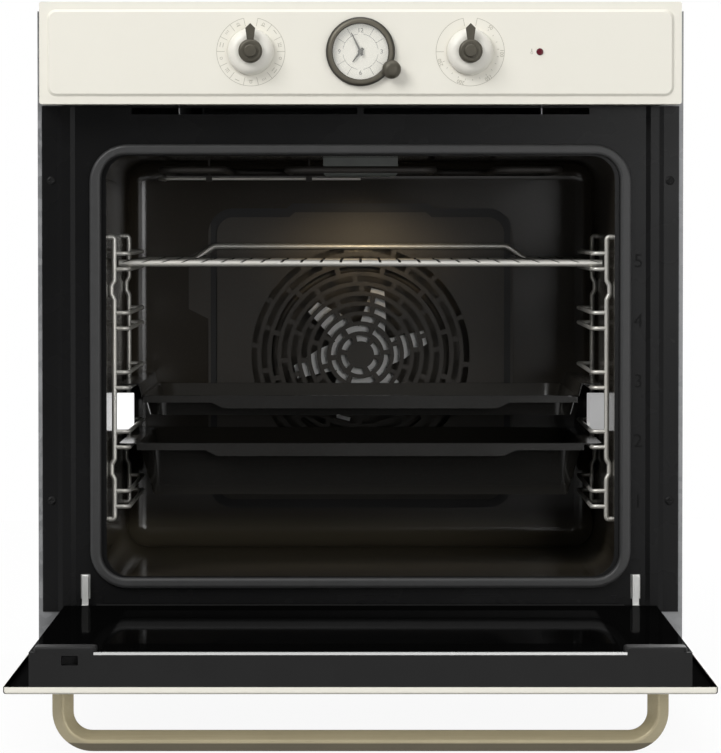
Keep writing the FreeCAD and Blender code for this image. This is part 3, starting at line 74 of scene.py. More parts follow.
# Floor: a plain pale floor, and a low white block that carries the oven's base like a cabinet's shelf, since
# the open door's handle hangs below it. Both show white to the eye and in reflections, and keep a faint shadow.
class Shade:
    """A socket in a node tree. Sums on it add Math nodes, and node() adds any other kind."""

    def __init__(self, tree, socket=None):
        self.tree = tree
        self.socket = socket

    def node(self, kind, settings=None, inputs=None, output=0):
        """Adds a node: first its settings (stops fill a ramp), then the values or links of its sockets."""
        made = self.tree.nodes.new("ShaderNode" + kind)
        for name, value in (settings or {}).items():
            if name == "stops":
                for stop in list(made.color_ramp.elements)[len(value):]:
                    made.color_ramp.elements.remove(stop)
                while len(made.color_ramp.elements) < len(value):
                    made.color_ramp.elements.new(1.0)
                for stop, (place, color) in zip(made.color_ramp.elements, value):
                    stop.position = place
                    stop.color = (*color, 1.0)
            else:
                setattr(made, name, value)
        for key, value in (inputs or {}).items():
            if isinstance(value, Shade):
                self.tree.links.new(value.socket, made.inputs[key])
            else:
                made.inputs[key].default_value = value
        return Shade(self.tree, made.outputs[output])

    def sum(self, operation, *values):
        return self.node("Math", {"operation": operation}, dict(enumerate(values)))

    def __add__(self, other):
        return self.sum("ADD", self, other)

    def __sub__(self, other):
        return self.sum("SUBTRACT", self, other)

    def __rsub__(self, other):
        return self.sum("SUBTRACT", other, self)

    def __mul__(self, other):
        return self.sum("MULTIPLY", self, other)

    def __gt__(self, other):
        return self.sum("GREATER_THAN", self, other)

    def __lt__(self, other):
        return self.sum("LESS_THAN", self, other)

    def mirrored(self):
        """1 on rays that a shiny or clear surface sends on, 0 on others."""
        return self.sum("MAXIMUM", self.node("LightPath", output="Is Glossy Ray"),
                        self.node("LightPath", output="Is Transmission Ray"))

    __radd__ = __add__
    __rmul__ = __mul__


class Finish(Shade):
    """A finish: a material with one Principled shader, whose plain values are set on its own sockets."""

    def __init__(self, name, **plain):
        self.material = bpy.data.materials.new(name)
        self.material.use_nodes = True
        super().__init__(self.material.node_tree)
        self.shader = self.tree.nodes["Principled BSDF"]
        self.place = self.node("TexCoord", output="Object")
        self.set(**plain)

    def set(self, **values):
        for name, value in values.items():
            socket = self.shader.inputs[name.replace("_", " ").title().replace("Ior", "IOR")]
            if isinstance(value, Shade):
                self.tree.links.new(value.socket, socket)
            elif isinstance(value, tuple) and len(value) == 3 and socket.type == "RGBA":
                socket.default_value = (*value, 1.0)
            else:
                socket.default_value = value
        return self

    def along(self, axis):
        """The place along one axis, in metres."""
        return self.node("SeparateXYZ", inputs={0: self.place}, output=axis)

    def noise(self, scale, detail=3.0, stretch=(1.0, 1.0, 1.0)):
        """Cloudy noise with a feature every 1/scale metres, drawn out along the axes that stretch shortens."""
        place = self.node("Mapping", inputs={"Vector": self.place, "Scale": stretch})
        return self.node("TexNoise", inputs={"Vector": place, "Scale": scale, "Detail": detail})

    def between(self, value, low, high):
        """A smooth step: 0 below low, 1 above high."""
        return self.node("MapRange", {"interpolation_type": "SMOOTHSTEP"},
                         {"Value": value, "From Min": low, "From Max": high, "To Min": 0.0, "To Max": 1.0})

    def specks(self, scale, full, none):
        """Round specks, one to a cell of 1/scale metres: 1 within full of the cell's middle, 0 past none."""
        middle = self.node("TexVoronoi", inputs={"Vector": self.place, "Scale": scale})
        return 1 - self.between(middle, full, none)

    def blend(self, mask, low, high):
        """A colour from low, where the mask is 0, to high, where it is 1."""
        return self.node("Mix", {"data_type": "RGBA"},
                         {"Factor": mask, 6: (*low, 1.0) if isinstance(low, tuple) else low,
                          7: (*high, 1.0) if isinstance(high, tuple) else high}, output=2)

    def rough(self, height, depth):
        """A bump of that depth in metres feeds the normal."""
        return self.set(normal=self.node("Bump", inputs={"Height": height, "Distance": depth, "Strength": 1.0}))

    def on(self, *names):
        """Paints these nodes."""
        for name in names:
            nodes[name].data.materials.clear()
            nodes[name].data.materials.append(self.material)
        return self


floor_gap, floor_glow, glow_share = 0.0004, 1.06, 0.88
floor_level = cad_box[0].z - floor_gap
white_floor = Finish("white_floor", base_color=(0.50, 0.50, 0.50), roughness=0.8)
seen = white_floor.sum("MAXIMUM", white_floor.node("LightPath", output="Is Camera Ray"), white_floor.mirrored())
shine = white_floor.node("Emission", inputs={"Color": (1.0, 1.0, 1.0, 1.0), "Strength": floor_glow})
paint = Shade(white_floor.tree, white_floor.shader.outputs[0])
mixed = white_floor.node("MixShader", inputs={0: seen * glow_share, 1: paint, 2: shine})
white_floor.tree.links.new(mixed.socket, white_floor.tree.nodes["Material Output"].inputs["Surface"])


def block(name, low, high):
    """The eight corners and six faces of an upright block."""
    corner = np.stack(np.meshgrid([0, 1], [0, 1], [0, 1], indexing="ij"), axis=-1).reshape(-1, 3)
    mesh = bpy.data.meshes.new(name)
    faces = [(0, 1, 3, 2), (4, 6, 7, 5), (0, 4, 5, 1), (2, 3, 7, 6), (0, 2, 6, 4), (1, 5, 7, 3)]
    mesh.from_pydata((np.array(low) + corner * (np.array(high) - np.array(low))).tolist(), [], faces)
    mesh.materials.append(white_floor.material)
    made = bpy.data.objects.new(name, mesh)
    bpy.context.scene.collection.objects.link(made)


floor_half, floor_depth = 2.2, 0.02
block("floor", (-floor_half, -floor_half, floor_level - floor_depth), (floor_half, floor_half, floor_level))
base_low, base_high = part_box("base_pan")
shelf_inset, shelf_setback, shelf_gap = 0.012, 0.02, 0.0003
block("niche_shelf", (base_low.x + shelf_inset, base_low.y + shelf_setback, floor_level),
      (base_high.x - shelf_inset, base_high.y - shelf_inset, -shelf_gap))

# Light: a white room that shiny faces see as dim ahead of the oven and bright behind and above it, and five
# soft boxes. The strongest stands at the upper left, and one nearer the front reaches into the cavity.
world = bpy.data.worlds.new("studio")
bpy.context.scene.world = world
world.use_nodes = True
sky = Shade(world.node_tree)


def brighter(axis, dim, full):
    """A smooth step of the ray's direction along one axis, from nearly black to white."""
    dimmest = 0.05
    along = sky.node("SeparateXYZ", inputs={0: sky.node("TexCoord", output="Generated")}, output=axis)
    return sky.node("MapRange", {"interpolation_type": "SMOOTHSTEP"},
                    {"Value": along, "From Min": dim, "From Max": full, "To Min": dimmest, "To Max": 1.0})


room_seen = sky.sum("MAXIMUM", brighter("Y", dim=-0.75, full=0.25), brighter("Z", dim=0.30, full=0.85))
room_light = 0.28
mirror_ray = sky.mirrored()
level = sky.sum("MAXIMUM", sky.node("LightPath", output="Is Camera Ray"),
                mirror_ray * room_seen + (1 - mirror_ray) * room_light)
background = world.node_tree.nodes["Background"]
background.inputs["Color"].default_value = (1.0, 1.0, 1.0, 1.0)
world.node_tree.links.new(level.socket, background.inputs["Strength"])


def soft_box(name, place, size, power):
    """A square lamp that faces the middle of the oven."""
    target = Vector((0.0, 0.0, 0.3))
    lamp = bpy.data.lights.new(name, "AREA")
    lamp.size = size
    lamp.energy = power
    made = bpy.data.objects.new(name, lamp)
    made.location = place
    made.rotation_euler = (target - Vector(place)).to_track_quat("-Z", "Y").to_euler()
    bpy.context.scene.collection.objects.link(made)


soft_box("key_box", place=(-2.3, -3.2, 2.7), size=2.0, power=114.0)
soft_box("fill_box", place=(2.8, -3.4, 0.8), size=2.0, power=16.0)
soft_box("front_box", place=(1.1, -3.9, 0.75), size=1.2, power=26.0)
soft_box("top_box", place=(0.0, -0.6, 3.2), size=2.2, power=30.0)
soft_box("back_box", place=(1.2, 3.4, 2.2), size=2.2, power=60.0)

# Casing: the five outer sheets are folded from galvanised steel, whose zinc freezes in flat crystals, and are
# screwed together at their edges. The blower's housing and wheel are cut from the same sheet.
zinc = Finish("zinc_sheet")
crystal = zinc.node("TexVoronoi", inputs={"Vector": zinc.place, "Scale": 150.0}, output="Color")
tone = zinc.node("SeparateColor", inputs={0: crystal})
cloud = zinc.noise(7.0)
frost_mark = tone * 0.6 + cloud * 0.4
zinc.set(base_color=zinc.blend(frost_mark, (0.19, 0.193, 0.197), (0.30, 0.304, 0.31)),
         metallic=0.55 + cloud * 0.15, roughness=0.34 + tone * 0.14 + cloud * 0.08)
zinc.rough(tone, 0.00003)
zinc.on("casing_left", "casing_right", "base_pan", "top_cover", "rear_cover", "blower_housing", "blower_wheel")


# Cover screws: pan-head sheet screws with a cross recess hold the top and rear covers to the sides.
# They are zinc plated, and sit a few millimetres in from the sheets' edges.
def patches(name, grids, finish, body):
    """One mesh from several grids of points, each u by v by 3; a face joins four neighbours of a grid."""
    points, faces, first = [], [], 0
    for grid in grids:
        tall, wide = grid.shape[:2]
        index = first + np.arange(tall * wide).reshape(tall, wide)
        points.append(grid.reshape(-1, 3))
        corners = [index[:-1, :-1], index[1:, :-1], index[1:, 1:], index[:-1, 1:]]
        faces.append(np.stack(corners, axis=-1).reshape(-1, 4))
        first += tall * wide
    mesh = bpy.data.meshes.new(name)
    mesh.from_pydata(np.concatenate(points).tolist(), [], np.concatenate(faces).tolist())
    mesh.shade_smooth()
    piece(name, mesh, finish, body)


def piece(name, mesh, finish, body):
    """A mesh becomes a piece that rides on a body and carries its finish."""
    mesh.materials.append(finish.material)
    made = bpy.data.objects.new(name, mesh)
    bpy.context.scene.collection.objects.link(made)
    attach(made, body)
    return made


def screw_head(radius, height, centre, out, up):
    """Radius runs from the rim to the middle and angle round it. The head is a quarter ellipse that falls off
    at the rim, less a cross: a step down by a share of the height, where the point is nearer to either arm's
    middle line than half the arm's width and nearer to the head's middle than the arm's length."""
    arm_half, arm_length, arm_depth = 0.13, 0.55, 0.45
    rings = np.array([1.0, 0.99, 0.95, 0.86, 0.7, 0.56, 0.52, 0.3, 0.12, 0.0])
    share, angle = np.meshgrid(rings, np.linspace(0.0, 2.0 * np.pi, 49), indexing="ij")
    across, along = share * np.cos(angle), share * np.sin(angle)
    cross = (np.minimum(np.abs(across), np.abs(along)) < arm_half) & (share < arm_length)
    rise = height * np.sqrt(np.clip(1.0 - share ** 2, 0.0, 1.0)) - height * arm_depth * cross
    side = np.cross(up, out)
    return (np.array(centre) + radius * across[..., None] * side + radius * along[..., None] * np.array(up)
            + rise[..., None] * np.array(out))


plated = Finish("screw_zinc", metallic=0.9)
scuff = plated.noise(600.0)
plated.set(base_color=plated.blend(scuff, (0.42, 0.42, 0.43), (0.60, 0.60, 0.61)), roughness=0.30 + scuff * 0.2)
plated.rough(scuff, 0.00003)
screw_inset, end_inset, head_radius, head_height = 0.009, 0.030, 0.0036, 0.0020
rear_rows = (0.030, 0.210, 0.390, 0.560)
rear_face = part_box("rear_cover")[1].y
cover_low, cover_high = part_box("top_cover")
screw_across = cover_high.x - screw_inset
heads = [screw_head(head_radius, head_height, (side * screw_across, rear_face, up), (0, 1, 0), (0, 0, 1))
         for side in (-1, 1) for up in rear_rows]
heads += [screw_head(head_radius, head_height, (side * screw_across, deep, cover_high.z), (0, 0, 1), (0, 1, 0))
          for side in (-1, 1) for deep in (cover_low.y + end_inset, 0.0, rear_face - end_inset)]
patches("cover_screws", heads, plated, "oven")

# Frame: pressed sheet in gloss black enamel, screwed to the casing round the mouth.
# The enamel has a faint orange-peel surface. The folded carrier behind the panel is painted black too, as
# painted shade seen through the frame's slots.
black = Finish("black_enamel", base_color=(0.0056, 0.0056, 0.0058), specular_ior_level=0.15)
peel = black.noise(420.0, 2.0)
black.set(roughness=0.22 + black.noise(18.0) * 0.10)
black.rough(peel, 0.00002)
black.on("front_frame", "control_bracket")


# Frame marks: the runner levels, 1 to 5, stand up a little from the enamel at the right of the mouth, and four
# black screws fill the holes where the frame is fixed to a cabinet.
def stamp(name, words, face, thick, finish, body):
    """Flat letters: each word is a font curve made a mesh in its own plane, turned by its angle, moved to its
    place and stood up, so that its plane's y runs up and its front looks out of the oven."""
    points, faces, first = [], [], 0
    for word, across, up, size, turn in words:
        curve = bpy.data.curves.new(name, "FONT")
        curve.body = word
        curve.size = size
        curve.extrude = thick / 2
        curve.resolution_u = 4
        curve.align_x = "CENTER"
        curve.align_y = "CENTER"
        text = bpy.data.objects.new(name, curve)
        flat = bpy.data.meshes.new_from_object(text)
        xyz = np.empty(len(flat.vertices) * 3)
        flat.vertices.foreach_get("co", xyz)
        xyz = xyz.reshape(-1, 3)
        cos, sin = math.cos(turn), math.sin(turn)
        points.append(np.stack([across + xyz[:, 0] * cos + xyz[:, 1] * sin, face - thick / 2 - xyz[:, 2],
                                up - xyz[:, 0] * sin + xyz[:, 1] * cos], axis=-1))
        faces += [tuple(first + corner for corner in polygon.vertices) for polygon in flat.polygons]
        first += len(xyz)
        bpy.data.objects.remove(text)
        bpy.data.curves.remove(curve)
        bpy.data.meshes.remove(flat)
    mesh = bpy.data.meshes.new(name)
    mesh.from_pydata(np.concatenate(points).tolist(), [], faces)
    piece(name, mesh, finish, body)


plate_gauge = 0.0012
frame_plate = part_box("front_frame")[1].y - plate_gauge
level_across, first_level, level_step, level_size, level_rise = 0.2602, 0.1294, 0.0562, 0.018, 0.0004
worn = Finish("raised_enamel", base_color=(0.0022, 0.0022, 0.0022), specular_ior_level=0.1)
worn.set(roughness=0.30 + worn.noise(90.0) * 0.12)
levels = [(str(count + 1), level_across, first_level + count * level_step, level_size, 0.0)
          for count in range(5)]
stamp("level_numbers", levels, frame_plate, level_rise, worn, "oven")
dark_screw = Finish("black_screw", specular_ior_level=0.15)
dark_screw.set(base_color=(0.0055, 0.0055, 0.0055), roughness=0.38 + dark_screw.noise(500.0) * 0.15)
hole_across, hole_rows = 0.2895, (0.130, 0.430)
head_radius, head_height, head_face = 0.0042, 0.0016, frame_plate - 0.00005
heads = [screw_head(head_radius, head_height, (side * hole_across, head_face, up), (0, -1, 0), (0, 0, 1))
         for side in (-1, 1) for up in hole_rows]
patches("frame_screws", heads, dark_screw, "oven")

# Cavity: deep-drawn steel muffle with a dark brown-black enamel, speckled in firing and welded to the frame.
# The fan guard is pressed from the same sheet and hangs on four screws in front of the fan. Its folded border
# is painted near black: painted shade for the shadowed gap round it.
speckle = {"scale": 520.0, "full": 0.10, "none": 0.22}
muffle = Finish("cavity_enamel", specular_ior_level=0.45)
fleck = muffle.specks(**speckle) * 0.5
guard_low, guard_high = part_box("fan_guard")
# Painted light: everything behind the guard's rear face, the back wall and the fan pocket, is painted lighter
# where little lamp light reaches.
pocket_start = guard_high.y + 0.001
painted_back_light = muffle.along("Y") > pocket_start
cavity_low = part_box("cavity")[0]
# Painted light: the floor and the foot of the walls are painted lighter and browner from near the mouth towards
# the back.
floor_light_near, floor_light_far = cavity_low.y + 0.03, cavity_low.y + 0.22
floor_light_low, floor_light_high = cavity_low.z + 0.016, cavity_low.z + 0.040
painted_floor_light = (muffle.between(muffle.along("Y"), floor_light_near, floor_light_far)
           * (1 - muffle.between(muffle.along("Z"), floor_light_low, floor_light_high)))
enamel = muffle.blend(fleck, (0.037, 0.031, 0.023), (0.080, 0.068, 0.050))
enamel = muffle.blend(painted_floor_light, enamel, (0.115, 0.098, 0.067))
muffle.set(base_color=muffle.blend(painted_back_light, enamel, (0.085, 0.076, 0.062)),
           roughness=0.11 + muffle.noise(9.0) * 0.10)
muffle.rough(muffle.noise(300.0, 2.0), 0.00003)
muffle.on("cavity")
field = Finish("guard_enamel", specular_ior_level=0.45)
# Painted shade: the guard's folded border is near black.
fold_start, fold_full, fold_across = guard_low.y + 0.0004, guard_low.y + 0.0014, guard_high.x - 0.0025
painted_border_shade = (field.between(field.along("Y"), fold_start, fold_full)
        * (field.sum("ABSOLUTE", field.along("X")) < fold_across))
plain_field = field.blend(field.specks(**speckle) * 0.5, (0.042, 0.035, 0.026), (0.088, 0.075, 0.056))
field.set(base_color=field.blend(painted_border_shade, plain_field, (0.003, 0.0028, 0.0025)),
          roughness=0.44 + field.noise(9.0) * 0.14)
field.rough(field.noise(300.0, 2.0), 0.00003)
field.on("fan_guard")

# Wool: the blanket round the cavity, yellow-grey mineral fibres laid in a thick mat and wrapped on with wire.
# Its faces are drawn in between tufts.
wool = Finish("mineral_wool", roughness=0.95)
fibre = wool.noise(260.0, 6.0, (0.15, 0.15, 1.0))
wool.set(base_color=wool.blend(fibre, (0.42, 0.37, 0.22), (0.72, 0.66, 0.46)))
wool.rough(fibre, 0.0015)
blank = bpy.data.objects.new("wool_blank", nodes["insulation"].data.copy())
bpy.context.scene.collection.objects.link(blank)
weld = blank.modifiers.new("weld", "WELD")
weld.merge_threshold = 0.0001
even = blank.modifiers.new("even", "REMESH")
even.mode = "VOXEL"
even.voxel_size = 0.006
mat = bpy.data.meshes.new_from_object(blank.evaluated_get(bpy.context.evaluated_depsgraph_get()))
bpy.data.objects.remove(blank)
spots = np.empty(len(mat.vertices) * 3)
outward = np.empty(len(mat.vertices) * 3)
mat.vertices.foreach_get("co", spots)
mat.vertex_normals.foreach_get("vector", outward)
spots, outward = spots.reshape(-1, 3), outward.reshape(-1, 3)
tuft_pitch, slack, dimple = 0.055, 0.0006, 0.0022
tuft = np.abs(np.cos(spots * np.pi / tuft_pitch)).min(axis=1)
drawn_in = slack + dimple * (1.0 - np.sqrt(tuft))
mat.vertices.foreach_set("co", (spots - outward * drawn_in[:, None]).ravel())
mat.materials.clear()
mat.shade_smooth()
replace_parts(piece("wool_blanket", mat, wool, "oven"), "insulation")

# Seal: a bead round the mouth of the cavity, extruded from dark silicone, bent to the corners
# and clipped into the frame.
rubber = Finish("seal_rubber", specular_ior_level=0.5)
dust = rubber.noise(120.0, 5.0)
rubber.set(base_color=rubber.blend(dust, (0.0175, 0.0176, 0.0178), (0.027, 0.0272, 0.0275)),
           roughness=0.42 + dust * 0.12)
rubber.rough(dust, 0.00006)
rubber.on("door_gasket")

# Motors and hinges: bright pressed steel, wiped along its length. The motors are screwed to their housings, and
# the hinge arms hook into sockets behind the frame.
steel = Finish("bright_steel", metallic=0.75)
wipe = steel.noise(70.0, 4.0, (1.0, 1.0, 0.08))
steel.set(base_color=steel.blend(wipe, (0.50, 0.50, 0.49), (0.66, 0.66, 0.64)), roughness=0.34 + wipe * 0.16)
steel.rough(wipe, 0.00002)
steel.on("fan_motor", "blower_motor", "hinge_channels", "hinge_arms", "hinge_sockets", "handle_screws")

# Fan: bent blades round a hub, stamped from one aluminised sheet, dull and pale.
# It is pressed on to the motor's shaft behind the guard.
fan = Finish("aluminised_sheet", metallic=0.25)
dull = fan.noise(120.0, 4.0)
fan.set(base_color=fan.blend(dull, (0.66, 0.66, 0.645), (0.78, 0.78, 0.765)), roughness=0.50 + dull * 0.15)
fan.rough(dull, 0.00003)
fan.on("convection_fan")

# Heaters and clips: sheathed rods and their small fixings, dulled and browned where they have been hot.
# The ring round the fan is paler, like ash.
sheath = Finish("heater_sheath", metallic=0.3)
scale = sheath.noise(45.0, 4.0)
sheath.set(base_color=sheath.blend(scale, (0.016, 0.015, 0.014), (0.034, 0.029, 0.024)),
           roughness=0.48 + scale * 0.2)
sheath.rough(scale, 0.00006)
sheath.on("grill_element", "bottom_heater", "cavity_fixings")
ring_sheath = Finish("ring_sheath", metallic=0.2)
ash = ring_sheath.noise(45.0, 4.0)
ring_sheath.set(base_color=ring_sheath.blend(ash, (0.075, 0.068, 0.056), (0.110, 0.098, 0.080)),
                roughness=0.50 + ash * 0.2)
ring_sheath.on("ring_heater")

# Runners and shelf: round steel wire, welded and plated to a satin white, with a straw tint from the heat.
# The shelf's grid wires are painted dark just above the bars they cross: painted shade for wires that lie in
# shadow.
satin, warmed = (0.62, 0.62, 0.59), (0.70, 0.67, 0.60)
wire = Finish("plated_wire")
tint = wire.noise(28.0)
wire.set(base_color=wire.blend(tint, satin, warmed), metallic=0.55 + tint * 0.15, roughness=0.34 + tint * 0.12)
wire.on("rack_left", "rack_right", "thermostat_bulb")
shelf = Finish("shelf_wire")
straw = shelf.noise(28.0)
# Painted shade: the grid wires are dark just above the bars.
grid_pitch, fan_out, shade_half, shade_low, shade_high = 0.019, 16.0, 0.0013, 0.0006, 0.005
bar_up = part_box("wire_shelf")[0].z + 0.0044
above = shelf.along("Z") - bar_up
from_wire = shelf.sum("PINGPONG", shelf.along("X") * (1 + above * fan_out), grid_pitch / 2)
painted_wire_shade = (from_wire < shade_half) * (above > shade_low) * (above < shade_high)
shelf.set(base_color=shelf.blend(painted_wire_shade, shelf.blend(straw, satin, warmed), (0.02, 0.018, 0.015)),
          metallic=0.55 + straw * 0.15, roughness=0.34 + straw * 0.12)
shelf.on("wire_shelf")

# Trays: deep-drawn steel in black enamel, a little duller than the frame, with fine specks. They rest on the
# runners by their rims. Behind the lip they are painted lighter and browner: painted light and reflection.
tray = Finish("tray_enamel", specular_ior_level=0.45)
dots = tray.specks(scale=620.0, full=0.08, none=0.18) * 0.5
tray_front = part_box("deep_tray")[0].y
# Painted light: the rims and dishes behind the lip are lighter than the lip.
lip_end, dish_start = tray_front + 0.024, tray_front + 0.040
painted_dish_light = tray.between(tray.along("Y"), lip_end, dish_start)
dish = tray.blend(painted_dish_light, (0.0125, 0.012, 0.011), (0.046, 0.042, 0.035))
tray.set(base_color=tray.blend(dots, dish, (0.055, 0.052, 0.047)), roughness=0.13 + tray.noise(14.0) * 0.10)
tray.rough(tray.noise(380.0, 2.0), 0.00003)
tray.on("deep_tray", "shallow_tray")

# Lamps: frosted glass covers are clipped into the roof and the side walls, and the ceramic holder sits behind
# the roof's cover. The left cover is lit, and a warm bulb shines under the roof on to the back wall.
frost = Finish("lamp_glass", roughness=0.35)
frost.set(base_color=frost.blend(frost.noise(90.0), (0.10, 0.108, 0.10), (0.14, 0.15, 0.14)))
frost.on("lamp_lens")
pale = Finish("pale_glass", roughness=0.35, emission_strength=0.35)
pale.set(base_color=pale.blend(pale.noise(90.0), (0.60, 0.61, 0.61), (0.72, 0.73, 0.73)),
         emission_color=(1.0, 1.0, 1.0))
pale.on("side_lens_right")
lit = Finish("lit_glass", roughness=0.3, emission_strength=1.0)
lit.set(base_color=(0.9, 0.9, 0.9),
        emission_color=lit.blend(lit.noise(60.0), (0.92, 0.92, 0.92), (1.0, 1.0, 1.0)))
lit.on("side_lens_left")
ceramic = Finish("lamp_ceramic", roughness=0.6)
ceramic.set(base_color=ceramic.blend(ceramic.noise(50.0), (0.70, 0.68, 0.62), (0.82, 0.80, 0.74)))
ceramic.on("lamp_holder")
bulb_reach, bulb_drop, bulb_dip, bulb_spread = 0.150, 0.056, 8.0, 2.2
bulb = bpy.data.lights.new("roof_bulb", "SPOT")
bulb.energy = 0.30
bulb.color = (1.0, 0.76, 0.44)
bulb.shadow_soft_size = 0.015
bulb.spot_size = math.radians(46.0)
bulb.spot_blend = 1.0
bulb_object = bpy.data.objects.new("roof_bulb", bulb)
bulb_object.location = (0.0, guard_low.y - bulb_reach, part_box("lamp_lens")[0].z - bulb_drop)
bulb_object.scale = (bulb_spread, 1.0, 1.0)
bulb_object.rotation_euler = (math.radians(90.0 - bulb_dip), 0.0, 0.0)
bpy.context.scene.collection.objects.link(bulb_object)

# Panel: pressed sheet with a raised field, in warm cream enamel with a soft gloss, fixed to the carrier behind.
# The door's outer panel is the same outside and black on the inside.
cream_light, cream_dark = (0.815, 0.790, 0.705), (0.795, 0.770, 0.685)
cream = Finish("cream_enamel", specular_ior_level=0.35)
drift = cream.noise(5.0, 2.0)
cream.set(base_color=cream.blend(drift, cream_dark, cream_light), roughness=0.36 + drift * 0.08)
cream.rough(cream.noise(500.0, 2.0), 0.00001)
cream.on("control_panel")
door_low, door_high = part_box("door_outer_panel")
inner_face, inner_edge, inner_end = door_low.z + 0.0005, door_high.x - 0.0003, door_low.y + 0.0007
door_cream = Finish("door_enamel", specular_ior_level=0.0, coat_roughness=0.36)
shift = door_cream.noise(5.0, 2.0)
inside = ((door_cream.along("Z") > inner_face) * (door_cream.along("Y") > inner_end)
          * (door_cream.sum("ABSOLUTE", door_cream.along("X")) < inner_edge))
outside = door_cream.blend(shift, cream_dark, cream_light)
door_cream.set(base_color=door_cream.blend(inside, outside, (0.006, 0.006, 0.006)),
               roughness=0.36 + shift * 0.08, coat_weight=(1 - inside) * 0.7)
door_cream.rough(door_cream.noise(500.0, 2.0), 0.00001)
door_cream.on("door_outer_panel")


# Panel print: a ring of function marks round the left knob, a temperature ring round the right one, and a small
# sign by the lamp. They are screen printed in grey-beige ink, a hair's breadth proud of the enamel.
def arc(across, up, inner, outer, begin, end, face, steps):
    """A flat band: radius from inner to outer, angle from begin to end, clockwise from the top, in degrees."""
    radius, angle = np.meshgrid([inner, outer], np.radians(np.linspace(begin, end, steps)), indexing="ij")
    return np.stack([across + radius * np.sin(angle), np.full_like(radius, face), up + radius * np.cos(angle)],
                    axis=-1)


def spoke(across, up, inner, outer, angle, width, face):
    """A short line along a radius: from inner to outer, and half the width to each side."""
    length, side = np.meshgrid([inner, outer], [-width / 2, width / 2], indexing="ij")
    turn = math.radians(angle)
    return np.stack([across + length * math.sin(turn) + side * math.cos(turn), np.full_like(length, face),
                     up + length * math.cos(turn) - side * math.sin(turn)], axis=-1)


ink = Finish("panel_ink", roughness=0.5)
ink.set(base_color=ink.blend(ink.noise(900.0), (0.36, 0.34, 0.275), (0.46, 0.435, 0.36)))
ink_rise = 0.00008
print_face = panel_front - ink_rise
knob_across, knob_up = 0.1015, 0.5487
ring_inner, ring_outer, line = 0.0242, 0.0318, 0.0004
first_turn, last_turn, functions = 12.0, 348.0, 13
bands = [arc(side * knob_across, knob_up, ring_outer - line, ring_outer, first_turn, last_turn, print_face, 97)
         for side in (-1, 1)]
walls = np.linspace(first_turn, last_turn, functions + 1)
bands += [spoke(-knob_across, knob_up, ring_inner, ring_outer, turn, line, print_face) for turn in walls]
mark_ring = (ring_inner + ring_outer) / 2
dot_inner, dot_outer, dash_half, bar_lean = 0.0009, 0.0013, 4.5, 3.0
upper_dash = (mark_ring + 0.0008, mark_ring + 0.0013)
lower_dash = (mark_ring - 0.0019, mark_ring - 0.0014)
short_bar = (mark_ring - 0.0008, mark_ring + 0.0014)
for count, turn in enumerate((walls[:-1] + walls[1:]) / 2):
    if count % 3 == 0:
        angle = math.radians(turn)
        bands.append(arc(-knob_across + mark_ring * math.sin(angle), knob_up + mark_ring * math.cos(angle),
                         dot_inner, dot_outer, 0.0, 360.0, print_face, 17))
    if count % 3 == 1:
        bands.append(arc(-knob_across, knob_up, *upper_dash, turn - dash_half, turn + dash_half, print_face, 7))
    if count % 2 == 0:
        bands.append(arc(-knob_across, knob_up, *lower_dash, turn - dash_half, turn + dash_half, print_face, 7))
    if count % 3 == 2:
        bands += [spoke(-knob_across, knob_up, *short_bar, turn + lean, line, print_face)
                  for lean in (-bar_lean, 0.0, bar_lean)]
scale_end, coldest, hottest = 270.0, 40.0, 250.0
tick_foot, tick_top = ring_inner + 0.001, ring_inner + 0.0026
bands += [spoke(knob_across, knob_up, ring_inner, ring_outer, turn, line, print_face)
          for turn in (first_turn, scale_end, last_turn)]
bands += [spoke(knob_across, knob_up, tick_foot, tick_top, turn, line, print_face)
          for turn in np.linspace(coldest, hottest, 15)]
sign_across, sign_up, sign_size, sign_stem, sign_line = 0.1585, knob_up - 0.001, 0.0012, 0.0026, 0.0007
bands.append(arc(sign_across, sign_up, sign_size - line, sign_size, 0.0, 360.0, print_face, 25))
bands.append(spoke(sign_across, sign_up, sign_size, sign_size + sign_stem, 0.0, sign_line, print_face))
patches("panel_scales", bands, ink, "oven")
degree_ring, degree_size, degree_face = 0.0292, 0.0048, panel_front - 0.00002
degrees = zip(("50", "100", "150", "200", "250"), np.radians(np.linspace(coldest, hottest, 5)))
words = [(word, knob_across + degree_ring * math.sin(turn), knob_up + degree_ring * math.cos(turn), degree_size,
          turn) for word, turn in degrees]
stamp("panel_degrees", words, degree_face, ink_rise, ink, "oven")

# Switches and terminal block: boxes of moulded white plastic, riveted to the carrier behind the panel
# and to the rear cover.
moulded = Finish("moulded_white", roughness=0.5)
moulded.set(base_color=moulded.blend(moulded.noise(40.0), (0.72, 0.72, 0.69), (0.80, 0.80, 0.77)))
moulded.rough(moulded.noise(900.0, 2.0), 0.00002)
moulded.on("selector_switch", "thermostat_switch", "clock_movement", "terminal_block")

# Knobs: a cream moulded dome on a switch's stem carries a hub and lever cast in dark bronze.
# The clock's ring, its setting knob and its hands are of the same bronze. The ring's edges are painted dark:
# painted shade where its rounded sides turn away from the light.
dome = Finish("cream_plastic", specular_ior_level=0.4)
dome_drift = dome.noise(80.0)
dome.set(base_color=dome.blend(dome_drift, (0.79, 0.765, 0.69), (0.82, 0.80, 0.725)),
         roughness=0.32 + dome_drift * 0.06)
dome.rough(dome.noise(900.0, 2.0), 0.00001)
dome.on("selector_knob", "thermostat_knob")
bronze = Finish("dark_bronze")
patina = bronze.noise(160.0, 4.0)
bronze.set(base_color=bronze.blend(patina, (0.056, 0.050, 0.036), (0.092, 0.083, 0.062)),
           metallic=0.35 + patina * 0.2, roughness=0.36 + patina * 0.16)
bronze.rough(patina, 0.00004)
bronze.on("selector_pointer", "thermostat_pointer", "clock_set_knob", "hour_hand", "minute_hand")
ring = Finish("ring_bronze")
ring_edge = -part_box("clock_bezel")[0].x
